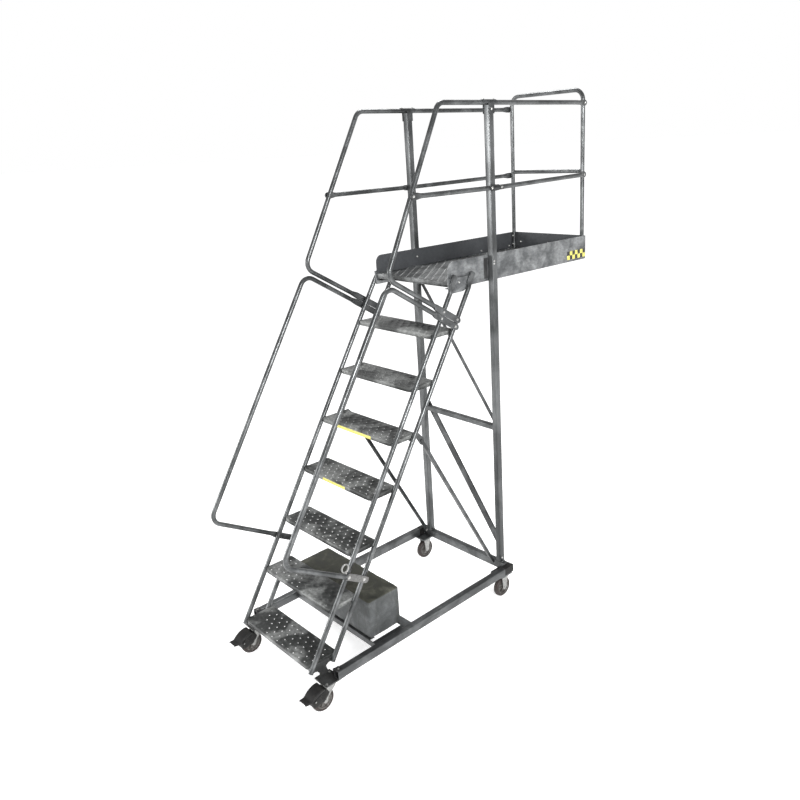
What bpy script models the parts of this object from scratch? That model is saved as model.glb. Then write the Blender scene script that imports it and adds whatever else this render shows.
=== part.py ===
"""Rolling warehouse ladder with a cantilevered work platform.

Frame: +Z up, -Y is the climbing side, +X is to the climber's right.
The origin is on the floor, under the centre of the whole ladder.
Lengths are in inches until metres() turns them into Blender's metres.
In the design frame, Y is 0 at the front stile's axis at the first tread.
"""
import math

import bmesh
import bpy
from mathutils import Matrix, Vector

# Units and joints between touching pieces
INCH = 0.0254
GAP = 0.012

# Stairway
STEP_COUNT = 7
STEP_RISE = 10.0
STEP_RUN = 6.32
STEP_DEPTH = 7.05
STEP_NOSE = 0.94
STEP_HALF_WIDTH = 11.97
STEP_SKIRT = 0.95
SHEET = 0.105
STILE_X = 12.5
STILE_SPACING = 5.42
STILE_FOOT_Z = 8.6
STILE_HEAD_Z = 79.9
TUBE_RADIUS = 0.5

# Base frame
RAIL_OUTER_X = 16.0
RAIL_WIDTH = 1.5
RAIL_BOTTOM_Z = 6.52
RAIL_HEIGHT = 1.93
RAIL_FRONT_Y = 3.3
RAIL_REAR_Y = 57.2
RAIL_WALL = 0.12
CASTER_PLATE_TOP_Z = 6.24
CASTER_PLATE_THICKNESS = 0.12
PLATE_SIZE = 4.0

# Uprights and platform
UPRIGHT_X = 12.43
UPRIGHT_Y = 56.42
UPRIGHT_WIDTH = 1.5
UPRIGHT_WALL = 0.1
CROSSBAR_Z = 43.75
CROSSBAR_SIZE = 1.25
PLATFORM_Z = STEP_RISE * (STEP_COUNT + 1)
PLATFORM_FRONT_Y = 43.3
PLATFORM_REAR_Y = 92.25
PLATFORM_HALF_WIDTH = 11.62
PLATFORM_BOTTOM_Z = 78.4
TOE_BOARD_TOP_Z = 84.1
DECK_THICKNESS = 0.12
CROSS_PLATE_COUNT = 4

# Guard rails
TOP_RAIL_Z = 115.2
MID_RAIL_Z = 98.26
HANDRAIL_X = STILE_X + 2 * TUBE_RADIUS + 2 * GAP
TOP_RAIL_X = UPRIGHT_X
MID_RAIL_X = UPRIGHT_X + UPRIGHT_WIDTH / 2 + TUBE_RADIUS + GAP
POST_X = 10.98
POST_Y = 91.6
RAIL_END_X = POST_X + 2 * TUBE_RADIUS + 2 * GAP
REAR_GUARD_TOP_Z = 118.2
REAR_MID_RAIL_Z = 99.64
BEND_RADIUS = 2.3
BEND_STEPS = 6

# Casters: 5 by 1 1/4 inch wheels
WHEEL_RADIUS = 2.5
WHEEL_WIDTH = 1.25
FRONT_WHEEL_X = 13.65
FRONT_WHEEL_Y = 0.5
SWIVEL_LEAD = 1.9
REAR_WHEEL_X = 13.9
REAR_WHEEL_Y = 55.0
FORK_INNER = 0.75
FORK_WALL = 0.12
AXLE_RADIUS = 0.19
TYRE_STEPS = 32
ROUND_STEPS = 12

# Front brackets, ballast frame and counterweight: (half width, front Y, rear Y) of the block
BRACKET_INNER_X = 11.6
BRACKET_OUTER_X = 15.7
BRACKET_FRONT_Y = 0.4
BRACKET_REAR_Y = 4.15
BRACKET_TAB_Y = 5.3
BRACKET_PLATE_BOTTOM_Z = CASTER_PLATE_TOP_Z + GAP
BRACKET_PLATE_TOP_Z = RAIL_BOTTOM_Z - GAP
WEB_THICKNESS = 0.19
BALLAST_FRONT_Y = 14.2
BALLAST_REAR_Y = 24.5
BALLAST_TOP_Z = 8.25
BALLAST_FOOT_Z = 7.0
BALLAST_WALL = 0.16
SLOT_INNER_X = 12.4
SLOT_OUTER_X = 13.4
FRONT_LEG_REAR_Y = 15.7
REAR_LEG_FRONT_Y = 22.3
WEIGHT_TOP_Z = 17.3
WEIGHT_FOOT = (12.6, 14.6, 23.1)
WEIGHT_HEAD = (12.72, 14.55, 23.0)

# Upright ends and the flat bars of the braces
UPRIGHT_FOOT_Z = RAIL_BOTTOM_Z + RAIL_HEIGHT + GAP
UPRIGHT_HEAD_Z = TOP_RAIL_Z - TUBE_RADIUS - GAP
BRACE_WIDTH = 1.25
BRACE_THICKNESS = 0.14

# Bends of the side rails, as (y, z)
GUARD_FOOT = (44.75, 71.55)
GUARD_KNEE = (25.1, 83.65)
GUARD_HEAD_Y = 41.9
LOWER_HEAD_FOOT = (44.1, 70.2)
LOWER_KNEE = (24.88, 82.28)
LOWER_HEEL = (-4.82, 34.87)
LOWER_FOOT = (14.6, 23.06)
POST_FOOT_Z = PLATFORM_Z + GAP

# Forks, brake housings and the pedal hinge, as (y from the wheel axis, z)
FORK_CROWN_Z = 5.68
FORK_FOOT_Z = 1.95
HOUSING_RADIUS = 2.82
HOUSING_WALL = 0.11
HOUSING_HALF = FORK_INNER + FORK_WALL + 0.3
PEDAL_PIVOT = (-0.2, 5.5)

# The ladder's front and rear ends, which put the origin under its middle
FRONT_END_Y = -4.432
REAR_END_Y = PLATFORM_REAR_Y
ORIGIN_Y = (FRONT_END_Y + REAR_END_Y) / 2

COLLECTION_NAME = "rolling_warehouse_ladder"
SIDES = (("left", -1), ("right", 1))


def metres(x, y, z):
    """A design point in inches as a world point in metres."""
    return Vector((x, y - ORIGIN_Y, z)) * INCH


def clear_scene():
    for old in list(bpy.data.objects):
        bpy.data.objects.remove(old, do_unlink=True)


def make_collection(name):
    group = bpy.data.collections.new(name)
    bpy.context.scene.collection.children.link(group)
    return group


def make_material(name, colour, roughness, metallic):
    material = bpy.data.materials.new(name)
    material.use_nodes = True
    shader = material.node_tree.nodes["Principled BSDF"]
    shader.inputs["Base Color"].default_value = (*colour, 1.0)
    shader.inputs["Roughness"].default_value = roughness
    shader.inputs["Metallic"].default_value = metallic
    return material


def finish(name, solid, origin=None, smooth=False):
    """Turns a bmesh into a named object whose origin is at a design point."""
    origin = metres(*origin) if origin else metres(0, 0, 0)
    bmesh.ops.translate(solid, verts=solid.verts, vec=-origin)
    bmesh.ops.recalc_face_normals(solid, faces=solid.faces)
    mesh = bpy.data.meshes.new(name)
    solid.to_mesh(mesh)
    solid.free()
    item = bpy.data.objects.new(name, mesh)
    item.location = origin
    parts.objects.link(item)
    if smooth:
        mesh.shade_smooth()
        mesh.set_sharp_from_angle(angle=math.radians(40))
    return item


def paint(item, material):
    item.data.materials.clear()
    item.data.materials.append(material)
    return item


def hang_on(child, parent):
    """Parents a piece and keeps its place."""
    child.parent = parent
    child.location = child.location - parent.location
    return child


def add_box(solid, low, high):
    """Adds a box between two opposite corners, in inches."""
    low_m = metres(*low)
    high_m = metres(*high)
    size = high_m - low_m
    place = Matrix.Translation((low_m + high_m) / 2) @ Matrix.Diagonal((*size, 1))
    return bmesh.ops.create_cube(solid, size=1, matrix=place)["verts"]


def add_rod(solid, start, end, radius, sides=ROUND_STEPS):
    """Adds a round bar, or a hexagon with six sides, between two points."""
    first = metres(*start)
    last = metres(*end)
    along = last - first
    turn = along.to_track_quat("Z", "Y").to_matrix().to_4x4()
    place = Matrix.Translation((first + last) / 2) @ turn
    bmesh.ops.create_cone(solid, cap_ends=True, segments=sides, radius1=radius * INCH,
                          radius2=radius * INCH, depth=along.length, matrix=place)


def box(name, low, high):
    solid = bmesh.new()
    add_box(solid, low, high)
    return finish(name, solid)


def open_tube(name, low, high, axis, wall):
    """A rectangular tube, open at both ends along one axis."""
    solid = bmesh.new()
    add_box(solid, low, high)
    ends = [face for face in solid.faces if abs(face.normal[axis]) > 0.5]
    bmesh.ops.delete(solid, geom=ends, context="FACES_ONLY")
    item = finish(name, solid)
    return thicken(item, wall)


def thicken(item, wall):
    shell = item.modifiers.new("wall", "SOLIDIFY")
    shell.thickness = wall * INCH
    shell.offset = -1
    shell.use_even_offset = True
    return item


def round_edges(item, width, segments=2):
    bevel = item.modifiers.new("rounded_edges", "BEVEL")
    bevel.width = width * INCH
    bevel.segments = segments
    return item


def pan(name, low, high, wall):
    """A sheet metal pan: a box without its bottom, thickened inwards."""
    solid = bmesh.new()
    add_box(solid, low, high)
    mouth = [face for face in solid.faces if face.normal.z < -0.5]
    bmesh.ops.delete(solid, geom=mouth, context="FACES_ONLY")
    return thicken(finish(name, solid), wall)


def mesh_of(item):
    """Turns a curve object into a bmesh with welded caps, in world space."""
    bpy.context.view_layer.update()
    graph = bpy.context.evaluated_depsgraph_get()
    mesh = bpy.data.meshes.new_from_object(item.evaluated_get(graph))
    solid = bmesh.new()
    solid.from_mesh(mesh)
    solid.transform(item.matrix_world)
    bmesh.ops.remove_doubles(solid, verts=solid.verts, dist=0.00001)
    bpy.data.objects.remove(item, do_unlink=True)
    bpy.data.meshes.remove(mesh)
    return solid


def extruded(outline, depth, place):
    """A flat outline in inches, given depth along the local Z of a world matrix."""
    curve = bpy.data.curves.new("outline", "CURVE")
    curve.dimensions = "2D"
    curve.fill_mode = "BOTH"
    curve.extrude = depth / 2 * INCH
    spline = curve.splines.new("POLY")
    spline.points.add(len(outline) - 1)
    for corner, (across, up) in zip(spline.points, outline):
        corner.co = (across * INCH, up * INCH, 0, 1)
    spline.use_cyclic_u = True
    item = bpy.data.objects.new("outline", curve)
    item.matrix_world = place
    parts.objects.link(item)
    return mesh_of(item)


def side_plate(outline, x_low, x_high):
    """A flat outline of (y, z) points, as a plate between two X positions."""
    upright = Matrix(((0, 0, 1, 0), (1, 0, 0, 0), (0, 1, 0, 0), (0, 0, 0, 1)))
    place = Matrix.Translation(metres((x_low + x_high) / 2, 0, 0)) @ upright
    return extruded(outline, x_high - x_low, place)


def cross_plate(outline, y_low, y_high):
    """A flat outline of (x, z) points, as a plate between two Y positions."""
    upright = Matrix(((1, 0, 0, 0), (0, 0, -1, 0), (0, 1, 0, 0), (0, 0, 0, 1)))
    place = Matrix.Translation(metres(0, (y_low + y_high) / 2, 0)) @ upright
    return extruded(outline, y_high - y_low, place)


def combine(item, other, operation):
    """Cuts a closed bmesh out of a piece, or joins it on, with a Boolean."""
    name = item.name + "_" + operation.lower()
    mesh = bpy.data.meshes.new(name)
    bmesh.ops.recalc_face_normals(other, faces=other.faces)
    other.to_mesh(mesh)
    other.free()
    helper = bpy.data.objects.new(name, mesh)
    cutters.objects.link(helper)
    helper.hide_render = True
    helper.display_type = "WIRE"
    boolean = item.modifiers.new(operation.lower(), "BOOLEAN")
    boolean.operation = operation
    boolean.solver = "EXACT"
    boolean.object = helper
    return item


def rounded_path(corners, radius=BEND_RADIUS):
    """Points along straight runs joined by arcs of one radius."""
    points = [Vector(corners[0])]
    for before, corner, after in zip(corners, corners[1:], corners[2:]):
        corner = Vector(corner)
        back = (Vector(before) - corner).normalized()
        ahead = (Vector(after) - corner).normalized()
        half = back.angle(ahead) / 2
        reach = radius / math.tan(half)
        middle = corner + (back + ahead).normalized() * (radius / math.sin(half))
        start = corner + back * reach - middle
        stop = corner + ahead * reach - middle
        for step in range(BEND_STEPS + 1):
            turn = start.slerp(stop, step / BEND_STEPS)
            points.append(middle + turn.normalized() * radius)
    points.append(Vector(corners[-1]))
    return points


def bent_tube(name, points, radius=TUBE_RADIUS):
    """A round tube along design points, with closed ends."""
    curve = bpy.data.curves.new(name, "CURVE")
    curve.dimensions = "3D"
    curve.bevel_depth = radius * INCH
    curve.bevel_resolution = 4
    curve.use_fill_caps = True
    spline = curve.splines.new("POLY")
    spline.points.add(len(points) - 1)
    for knot, place in zip(spline.points, points):
        knot.co = (*metres(*place), 1)
    item = bpy.data.objects.new(name, curve)
    parts.objects.link(item)
    return item


def straight_tube(name, start, end, radius=TUBE_RADIUS):
    solid = bmesh.new()
    add_rod(solid, start, end, radius)
    return finish(name, solid, smooth=True)


def stile_y(z, rear=False):
    """Y of a stile's axis at one height."""
    return STEP_RUN * (z - STEP_RISE) / STEP_RISE + (STILE_SPACING if rear else 0)


def angle_bar(name, start, end, width, thickness, out):
    """A steel angle between two points: its flat leg faces the direction out."""
    first = metres(*start)
    last = metres(*end)
    along = (last - first).normalized()
    across = Vector(out).cross(along).normalized()
    half = width / 2
    profile = ((-half, 0), (half, 0), (half, -thickness), (thickness - half, -thickness),
               (thickness - half, -width), (-half, -width))
    place = Matrix((across, Vector(out), along)).transposed().to_4x4()
    place.translation = (first + last) / 2
    return finish(name, extruded(profile, (last - first).length / INCH, place))


def turned(name, profile, centre, steps):
    """A ring or disc turned about an X axis: (x, radius) points down its outer side."""
    solid = bmesh.new()
    knots = [solid.verts.new((radius * INCH, 0, across * INCH)) for across, radius in profile]
    for here, there in zip(knots, knots[1:] + knots[:1]):
        solid.edges.new((here, there))
    mesh = bpy.data.meshes.new(name)
    solid.to_mesh(mesh)
    solid.free()
    item = bpy.data.objects.new(name, mesh)
    parts.objects.link(item)
    screw = item.modifiers.new("turn", "SCREW")
    screw.axis = "Z"
    screw.steps = steps
    screw.render_steps = steps
    screw.use_merge_vertices = True
    screw.merge_threshold = 0.00001
    screw.use_smooth_shade = True
    item.rotation_mode = "ZYX"
    item.rotation_euler = (0, math.pi / 2, math.pi / steps)
    item.location = metres(*centre)
    return item


# --- Base frame ---------------------------------------------------------------------------


def side_rails():
    for side_name, side in SIDES:
        outer = side * RAIL_OUTER_X
        inner = side * (RAIL_OUTER_X - RAIL_WIDTH)
        low = (min(outer, inner), RAIL_FRONT_Y, RAIL_BOTTOM_Z)
        high = (max(outer, inner), RAIL_REAR_Y, RAIL_BOTTOM_Z + RAIL_HEIGHT)
        paint(open_tube("side_rail_" + side_name, low, high, 1, RAIL_WALL), painted_steel)


def rear_cross_rail():
    reach = RAIL_OUTER_X - RAIL_WIDTH - GAP
    low = (-reach, RAIL_REAR_Y - RAIL_WIDTH, RAIL_BOTTOM_Z)
    high = (reach, RAIL_REAR_Y, RAIL_BOTTOM_Z + RAIL_HEIGHT)
    paint(open_tube("rear_cross_rail", low, high, 0, RAIL_WALL), painted_steel)


def front_caster_brackets():
    """A plate over each front caster, with a web up beside the first tread's end."""
    middle_z = (BRACKET_PLATE_BOTTOM_Z + BRACKET_PLATE_TOP_Z) / 2
    height = BRACKET_PLATE_TOP_Z - BRACKET_PLATE_BOTTOM_Z
    web_x = STEP_HALF_WIDTH + GAP
    web_top = STEP_RISE - 0.2
    web = ((1.45, middle_z), (3.6, middle_z), (3.1, 8.2), (3.7, 8.6), (3.7, web_top),
           (0.62, web_top), (-0.2, 8.2), (0.9, 8.0), (1.45, 7.3))
    tab_x = RAIL_OUTER_X - RAIL_WIDTH - 0.1
    half = ((BRACKET_INNER_X, BRACKET_FRONT_Y), (BRACKET_OUTER_X, BRACKET_FRONT_Y),
            (BRACKET_OUTER_X, BRACKET_TAB_Y), (tab_x, BRACKET_TAB_Y), (tab_x, BRACKET_REAR_Y),
            (BRACKET_INNER_X, BRACKET_REAR_Y))
    for side_name, side in SIDES:
        outline = tuple((side * x, y) for x, y in half)[::side]
        place = Matrix.Translation(metres(0, 0, middle_z))
        plate = finish("front_bracket_" + side_name, extruded(outline, height, place))
        web_xs = sorted((side * web_x, side * (web_x + WEB_THICKNESS)))
        paint(combine(plate, side_plate(web, *web_xs), "UNION"), painted_steel)


def ballast_frame():
    """Angle bars between the side rails, open in the middle and in a slot at each side."""
    reach = RAIL_OUTER_X - RAIL_WIDTH - GAP
    wall = BALLAST_WALL
    frame = box("ballast_frame", (-reach, BALLAST_FRONT_Y, BALLAST_FOOT_Z),
                (reach, BALLAST_REAR_Y, BALLAST_TOP_Z))
    under = bmesh.new()
    add_box(under, (wall - reach, BALLAST_FRONT_Y + wall, BALLAST_FOOT_Z - 1),
            (reach - wall, BALLAST_REAR_Y - wall, BALLAST_TOP_Z - wall))
    combine(frame, under, "DIFFERENCE")
    slot_front = BALLAST_FRONT_Y + wall + 0.04
    half = ((SLOT_INNER_X, FRONT_LEG_REAR_Y), (SLOT_INNER_X, slot_front),
            (SLOT_OUTER_X, slot_front), (SLOT_OUTER_X, REAR_LEG_FRONT_Y))
    mirrored = tuple((-x, y) for x, y in reversed(half))
    through = extruded(half + mirrored, 1.0, Matrix.Translation(metres(0, 0, BALLAST_TOP_Z)))
    paint(combine(frame, through, "DIFFERENCE"), painted_steel)


def counterweight():
    """A cast block on the ballast frame, a little wider at its top."""
    solid = bmesh.new()
    foot_x, foot_front, foot_rear = WEIGHT_FOOT
    head_x, head_front, head_rear = WEIGHT_HEAD
    foot_z = BALLAST_TOP_Z + GAP
    corners = add_box(solid, (-1, 0, foot_z), (1, 1, WEIGHT_TOP_Z))
    middle = metres(0, 0.5, (foot_z + WEIGHT_TOP_Z) / 2)
    for corner in corners:
        side = 1 if corner.co.x > 0 else -1
        rear = corner.co.y > middle.y
        if corner.co.z > middle.z:
            corner.co = metres(side * head_x, head_rear if rear else head_front, WEIGHT_TOP_Z)
        else:
            corner.co = metres(side * foot_x, foot_rear if rear else foot_front, foot_z)
    paint(round_edges(finish("counterweight", solid), 0.35), cast_iron)


# --- Uprights and braces ------------------------------------------------------------------


def uprights():
    half = UPRIGHT_WIDTH / 2
    for side_name, side in SIDES:
        low = (side * UPRIGHT_X - half, UPRIGHT_Y - half, UPRIGHT_FOOT_Z)
        high = (side * UPRIGHT_X + half, UPRIGHT_Y + half, UPRIGHT_HEAD_Z)
        paint(open_tube("upright_" + side_name, low, high, 2, UPRIGHT_WALL), painted_steel)


def mid_crossbar():
    reach = UPRIGHT_X - UPRIGHT_WIDTH / 2 - GAP
    half = CROSSBAR_SIZE / 2
    low = (-reach, UPRIGHT_Y - half, CROSSBAR_Z - half)
    high = (reach, UPRIGHT_Y + half, CROSSBAR_Z + half)
    paint(open_tube("mid_crossbar", low, high, 0, UPRIGHT_WALL), painted_steel)


def rear_braces():
    """Two diagonals on the uprights' rear faces, both falling to the right."""
    y = UPRIGHT_Y + UPRIGHT_WIDTH / 2 + BRACE_THICKNESS + GAP
    runs = (("rear_brace_upper", (-12.2, 76.45), (12.2, 43.2), 0.9),
            ("rear_brace_lower", (-12.0, 45.7), (12.2, 11.7), BRACE_WIDTH))
    for name, (left, high), (right, low), width in runs:
        start = (left, y - BRACE_THICKNESS, high)
        end = (right, y - BRACE_THICKNESS, low)
        bar = angle_bar(name, start, end, width, BRACE_THICKNESS, (0, -1, 0))
        paint(bar, painted_steel)


def side_braces():
    """Angles from the rear stiles' inner sides down to the rear corners."""
    x = STILE_X - TUBE_RADIUS - GAP
    for side_name, side in SIDES:
        start = (side * x, 32.2, 48.4)
        end = (side * x, 54.5, 8.4)
        bar = angle_bar("side_brace_" + side_name, start, end, 1.0, BRACE_THICKNESS, (side, 0, 0))
        paint(bar, painted_steel)


# --- Stairway -----------------------------------------------------------------------------


def stiles():
    for side_name, side in SIDES:
        x = side * STILE_X
        for place, rear in (("front", False), ("rear", True)):
            start = (x, stile_y(STILE_FOOT_Z, rear), STILE_FOOT_Z)
            end = (x, stile_y(STILE_HEAD_Z, rear), STILE_HEAD_Z)
            tube = straight_tube(place + "_stile_" + side_name, start, end)
            paint(tube, painted_steel)


def steps():
    for number in range(1, STEP_COUNT + 1):
        top = number * STEP_RISE
        front = stile_y(top) - STEP_NOSE
        low = (-STEP_HALF_WIDTH, front, top - STEP_SKIRT)
        high = (STEP_HALF_WIDTH, front + STEP_DEPTH, top)
        paint(pan("step_" + str(number), low, high, SHEET), tread_steel)


# --- Platform -----------------------------------------------------------------------------


def platform_deck():
    edge = PLATFORM_HALF_WIDTH - 0.11 - GAP
    rear = PLATFORM_REAR_Y - 0.11 - GAP
    lip_low = (-edge, PLATFORM_FRONT_Y, PLATFORM_Z - 1.1)
    deck = pan("platform_deck", lip_low, (edge, rear, PLATFORM_Z), DECK_THICKNESS)
    paint(deck, tread_steel)


def platform_frame():
    """Two channels under the deck's sides, joined by upright cross plates."""
    inner = PLATFORM_HALF_WIDTH - 0.11 - DECK_THICKNESS - 2 * GAP
    under = PLATFORM_Z - DECK_THICKNESS - GAP
    front = PLATFORM_FRONT_Y + DECK_THICKNESS + GAP
    back = PLATFORM_REAR_Y - 0.11 - DECK_THICKNESS - 2 * GAP
    floor = PLATFORM_BOTTOM_Z
    leg = inner - 1.0
    wall = DECK_THICKNESS
    channel = ((inner, floor), (inner, under), (leg, under), (leg, under - wall),
               (inner - wall, under - wall), (inner - wall, floor + wall),
               (leg, floor + wall), (leg, floor))
    left = cross_plate(tuple((-x, z) for x, z in channel), front, back)
    frame = finish("platform_frame", left)
    crosses = bmesh.new()
    reach = inner - wall / 2
    for number in range(CROSS_PLATE_COUNT):
        y = front + 3 + number * (back - front - 6) / (CROSS_PLATE_COUNT - 1)
        add_box(crosses, (-reach, y - wall, floor + wall / 2), (reach, y + wall, under - wall / 2))
    combine(frame, crosses, "UNION")
    paint(combine(frame, cross_plate(channel, front, back), "UNION"), painted_steel)


def toe_boards():
    """Tall plates on three sides; the side plates' front top corners are rounded."""
    outer = PLATFORM_HALF_WIDTH
    inner = outer - 0.11
    corner = 1.6
    arc = [(PLATFORM_FRONT_Y + corner - corner * math.cos(turn),
            TOE_BOARD_TOP_Z - corner + corner * math.sin(turn))
           for turn in (math.pi / 2 * step / 5 for step in range(6))]
    outline = [(PLATFORM_FRONT_Y, PLATFORM_BOTTOM_Z)] + arc + [
        (PLATFORM_REAR_Y, TOE_BOARD_TOP_Z), (PLATFORM_REAR_Y, PLATFORM_BOTTOM_Z)]
    for side_name, side in SIDES:
        xs = sorted((side * inner, side * outer))
        board = finish("toe_board_" + side_name, side_plate(outline, *xs))
        paint(board, dark_steel)
    reach = inner - GAP
    low = (-reach, PLATFORM_REAR_Y - 0.11, PLATFORM_BOTTOM_Z)
    board = box("toe_board_rear", low, (reach, PLATFORM_REAR_Y, TOE_BOARD_TOP_Z))
    paint(board, dark_steel)


def platform_hangers():
    """Plates between the stile heads and the platform's sides."""
    outline = ((42.9, 80.6), (43.2, 77.5), (47.3, 77.5), (50.0, 78.6), (50.3, 80.6))
    inner = PLATFORM_HALF_WIDTH + GAP
    outer = STILE_X - TUBE_RADIUS - GAP
    for side_name, side in SIDES:
        plate = side_plate(outline, *sorted((side * inner, side * outer)))
        paint(finish("platform_hanger_" + side_name, plate), painted_steel)


# --- Rails --------------------------------------------------------------------------------


def guard_rails():
    """One bent tube a side: foot leg, slanted leg and the top rail to the rear post."""
    for side_name, side in SIDES:
        corners = [(HANDRAIL_X, *GUARD_FOOT), (HANDRAIL_X, *GUARD_KNEE),
                   (TOP_RAIL_X, GUARD_HEAD_Y, TOP_RAIL_Z)]
        straight = [(TOP_RAIL_X, POST_Y - 5, TOP_RAIL_Z), (RAIL_END_X, POST_Y - 3.4, TOP_RAIL_Z),
                    (RAIL_END_X, POST_Y + 0.4, TOP_RAIL_Z)]
        path = rounded_path(corners + straight[:1]) + [Vector(place) for place in straight[1:]]
        path = [(side * x, y, z) for x, y, z in path]
        paint(bent_tube("guard_rail_" + side_name, path), painted_steel)


def lower_handrails():
    """One bent tube a side: head leg, long leg beside the stiles and foot leg."""
    for side_name, side in SIDES:
        corners = [(LOWER_HEAD_FOOT), LOWER_KNEE, LOWER_HEEL, LOWER_FOOT]
        path = rounded_path([(HANDRAIL_X, *corner) for corner in corners])
        path = [(side * x, y, z) for x, y, z in path]
        paint(bent_tube("lower_handrail_" + side_name, path), painted_steel)


def slanted_leg_y(z):
    """Y of the guard rail's slanted leg at one height."""
    share = (z - GUARD_KNEE[1]) / (TOP_RAIL_Z - GUARD_KNEE[1])
    return GUARD_KNEE[0] + (GUARD_HEAD_Y - GUARD_KNEE[0]) * share


def mid_rails():
    front = slanted_leg_y(MID_RAIL_Z) + 0.75
    for side_name, side in SIDES:
        path = [(MID_RAIL_X, front, MID_RAIL_Z), (MID_RAIL_X, 58.5, MID_RAIL_Z),
                (RAIL_END_X, POST_Y + 0.4, MID_RAIL_Z + 0.6)]
        path = [(side * x, y, z) for x, y, z in path]
        paint(bent_tube("mid_rail_" + side_name, path), painted_steel)


def rear_guard():
    corners = [(-POST_X, POST_Y, POST_FOOT_Z), (-POST_X, POST_Y, REAR_GUARD_TOP_Z),
               (POST_X, POST_Y, REAR_GUARD_TOP_Z), (POST_X, POST_Y, POST_FOOT_Z)]
    paint(bent_tube("rear_guard", rounded_path(corners)), painted_steel)
    reach = POST_X - TUBE_RADIUS - GAP
    start = (-reach, POST_Y, REAR_MID_RAIL_Z)
    bar = straight_tube("rear_mid_rail", start, (reach, POST_Y, REAR_MID_RAIL_Z))
    paint(bar, painted_steel)


# --- Eye bolt -----------------------------------------------------------------------------


def along_foot_leg(y):
    """Z of the lower handrail's foot leg at one Y."""
    share = (y - LOWER_HEEL[0]) / (LOWER_FOOT[0] - LOWER_HEEL[0])
    return LOWER_HEEL[1] + (LOWER_FOOT[1] - LOWER_HEEL[1]) * share


def ring_of_wire(centre_y, centre_z, ring_radius, wire):
    """A closed ring in the YZ plane of the right handrail."""
    ring = bmesh.new()
    turns = 20
    sides = 8
    loops = []
    for turn in range(turns):
        angle = 2 * math.pi * turn / turns
        loop = []
        for step in range(sides):
            around = 2 * math.pi * step / sides
            reach = ring_radius + wire * math.cos(around)
            place = metres(HANDRAIL_X + wire * math.sin(around),
                           centre_y + reach * math.cos(angle), centre_z + reach * math.sin(angle))
            loop.append(ring.verts.new(place))
        loops.append(loop)
    for here, there in zip(loops, loops[1:] + loops[:1]):
        for step in range(sides):
            after = (step + 1) % sides
            ring.faces.new((here[step], here[after], there[after], there[step]))
    return ring


def eye_bolt():
    """A ring on a collar, standing on the right handrail's foot leg."""
    y = 9.1
    ring_radius = 0.85
    foot_z = along_foot_leg(y) + 0.8
    ring = ring_of_wire(y, foot_z + 0.3 + ring_radius, ring_radius, 0.17)
    eye = finish("eye_bolt", ring, smooth=True)
    collar = bmesh.new()
    add_rod(collar, (HANDRAIL_X, y, foot_z), (HANDRAIL_X, y, foot_z + 0.33), 0.3, 6)
    paint(combine(eye, collar, "UNION"), zinc)


# --- Casters ------------------------------------------------------------------------------


def fork_strip(x, crown_z, crown_front, crown_rear, foot_front, foot_rear, foot_z):
    """A U of flat strip over the wheel, narrowing and leaning towards its feet."""
    solid = bmesh.new()
    half = FORK_INNER + FORK_WALL
    rows = []
    for offset, top in ((-half, False), (-half, True), (half, True), (half, False)):
        front = crown_front if top else foot_front
        rear = crown_rear if top else foot_rear
        z = crown_z if top else foot_z
        rows.append((solid.verts.new(metres(x + offset, front, z)),
                     solid.verts.new(metres(x + offset, rear, z))))
    for here, there in zip(rows, rows[1:]):
        solid.faces.new((here[0], here[1], there[1], there[0]))
    return solid


def axle_bolt(x, y):
    """A bolt through both fork legs, wide at its head and at its nut."""
    reach = FORK_INNER + FORK_WALL
    solid = bmesh.new()
    knots = ((-reach - 0.2, 0.36), (0.06 - reach, 0.36), (0.06 - reach, AXLE_RADIUS),
             (reach - 0.06, AXLE_RADIUS), (reach - 0.06, 0.36), (reach + 0.2, 0.36))
    rings = []
    for across, radius in knots:
        ring = []
        for step in range(ROUND_STEPS):
            turn = 2 * math.pi * step / ROUND_STEPS
            ring.append(solid.verts.new(metres(x + across, y + radius * math.cos(turn),
                                               WHEEL_RADIUS + radius * math.sin(turn))))
        rings.append(ring)
    for here, there in zip(rings, rings[1:]):
        for step in range(ROUND_STEPS):
            after = (step + 1) % ROUND_STEPS
            solid.faces.new((here[step], here[after], there[after], there[step]))
    solid.faces.new(rings[0])
    solid.faces.new(rings[-1])
    return solid


def wheel(name, x, y):
    """A tyre and its hub, both turned about the axle."""
    flat = 1 / math.cos(math.pi / TYRE_STEPS)
    half = WHEEL_WIDTH / 2
    tread = [(half, 1.8), (half, 2.2), (half - 0.14, 2.43), (half - 0.34, WHEEL_RADIUS)]
    tread = [(across, radius * flat) for across, radius in tread]
    tread += [(-across, radius) for across, radius in reversed(tread)]
    tyre = paint(turned(name + "_tyre", tread, (x, y, WHEEL_RADIUS), TYRE_STEPS), tyre_rubber)
    bore = AXLE_RADIUS + 2 * GAP
    rim = 1.8 - GAP
    face = [(half + 0.08, bore), (half + 0.08, 0.55), (0.2, 0.7), (0.2, 1.45), (half - 0.05, 1.6),
            (half - 0.05, rim)]
    face += [(-across, radius) for across, radius in reversed(face)]
    hub = paint(turned(name + "_hub", face, (x, y, WHEEL_RADIUS), 24), hub_plastic)
    return tyre, hub


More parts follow.
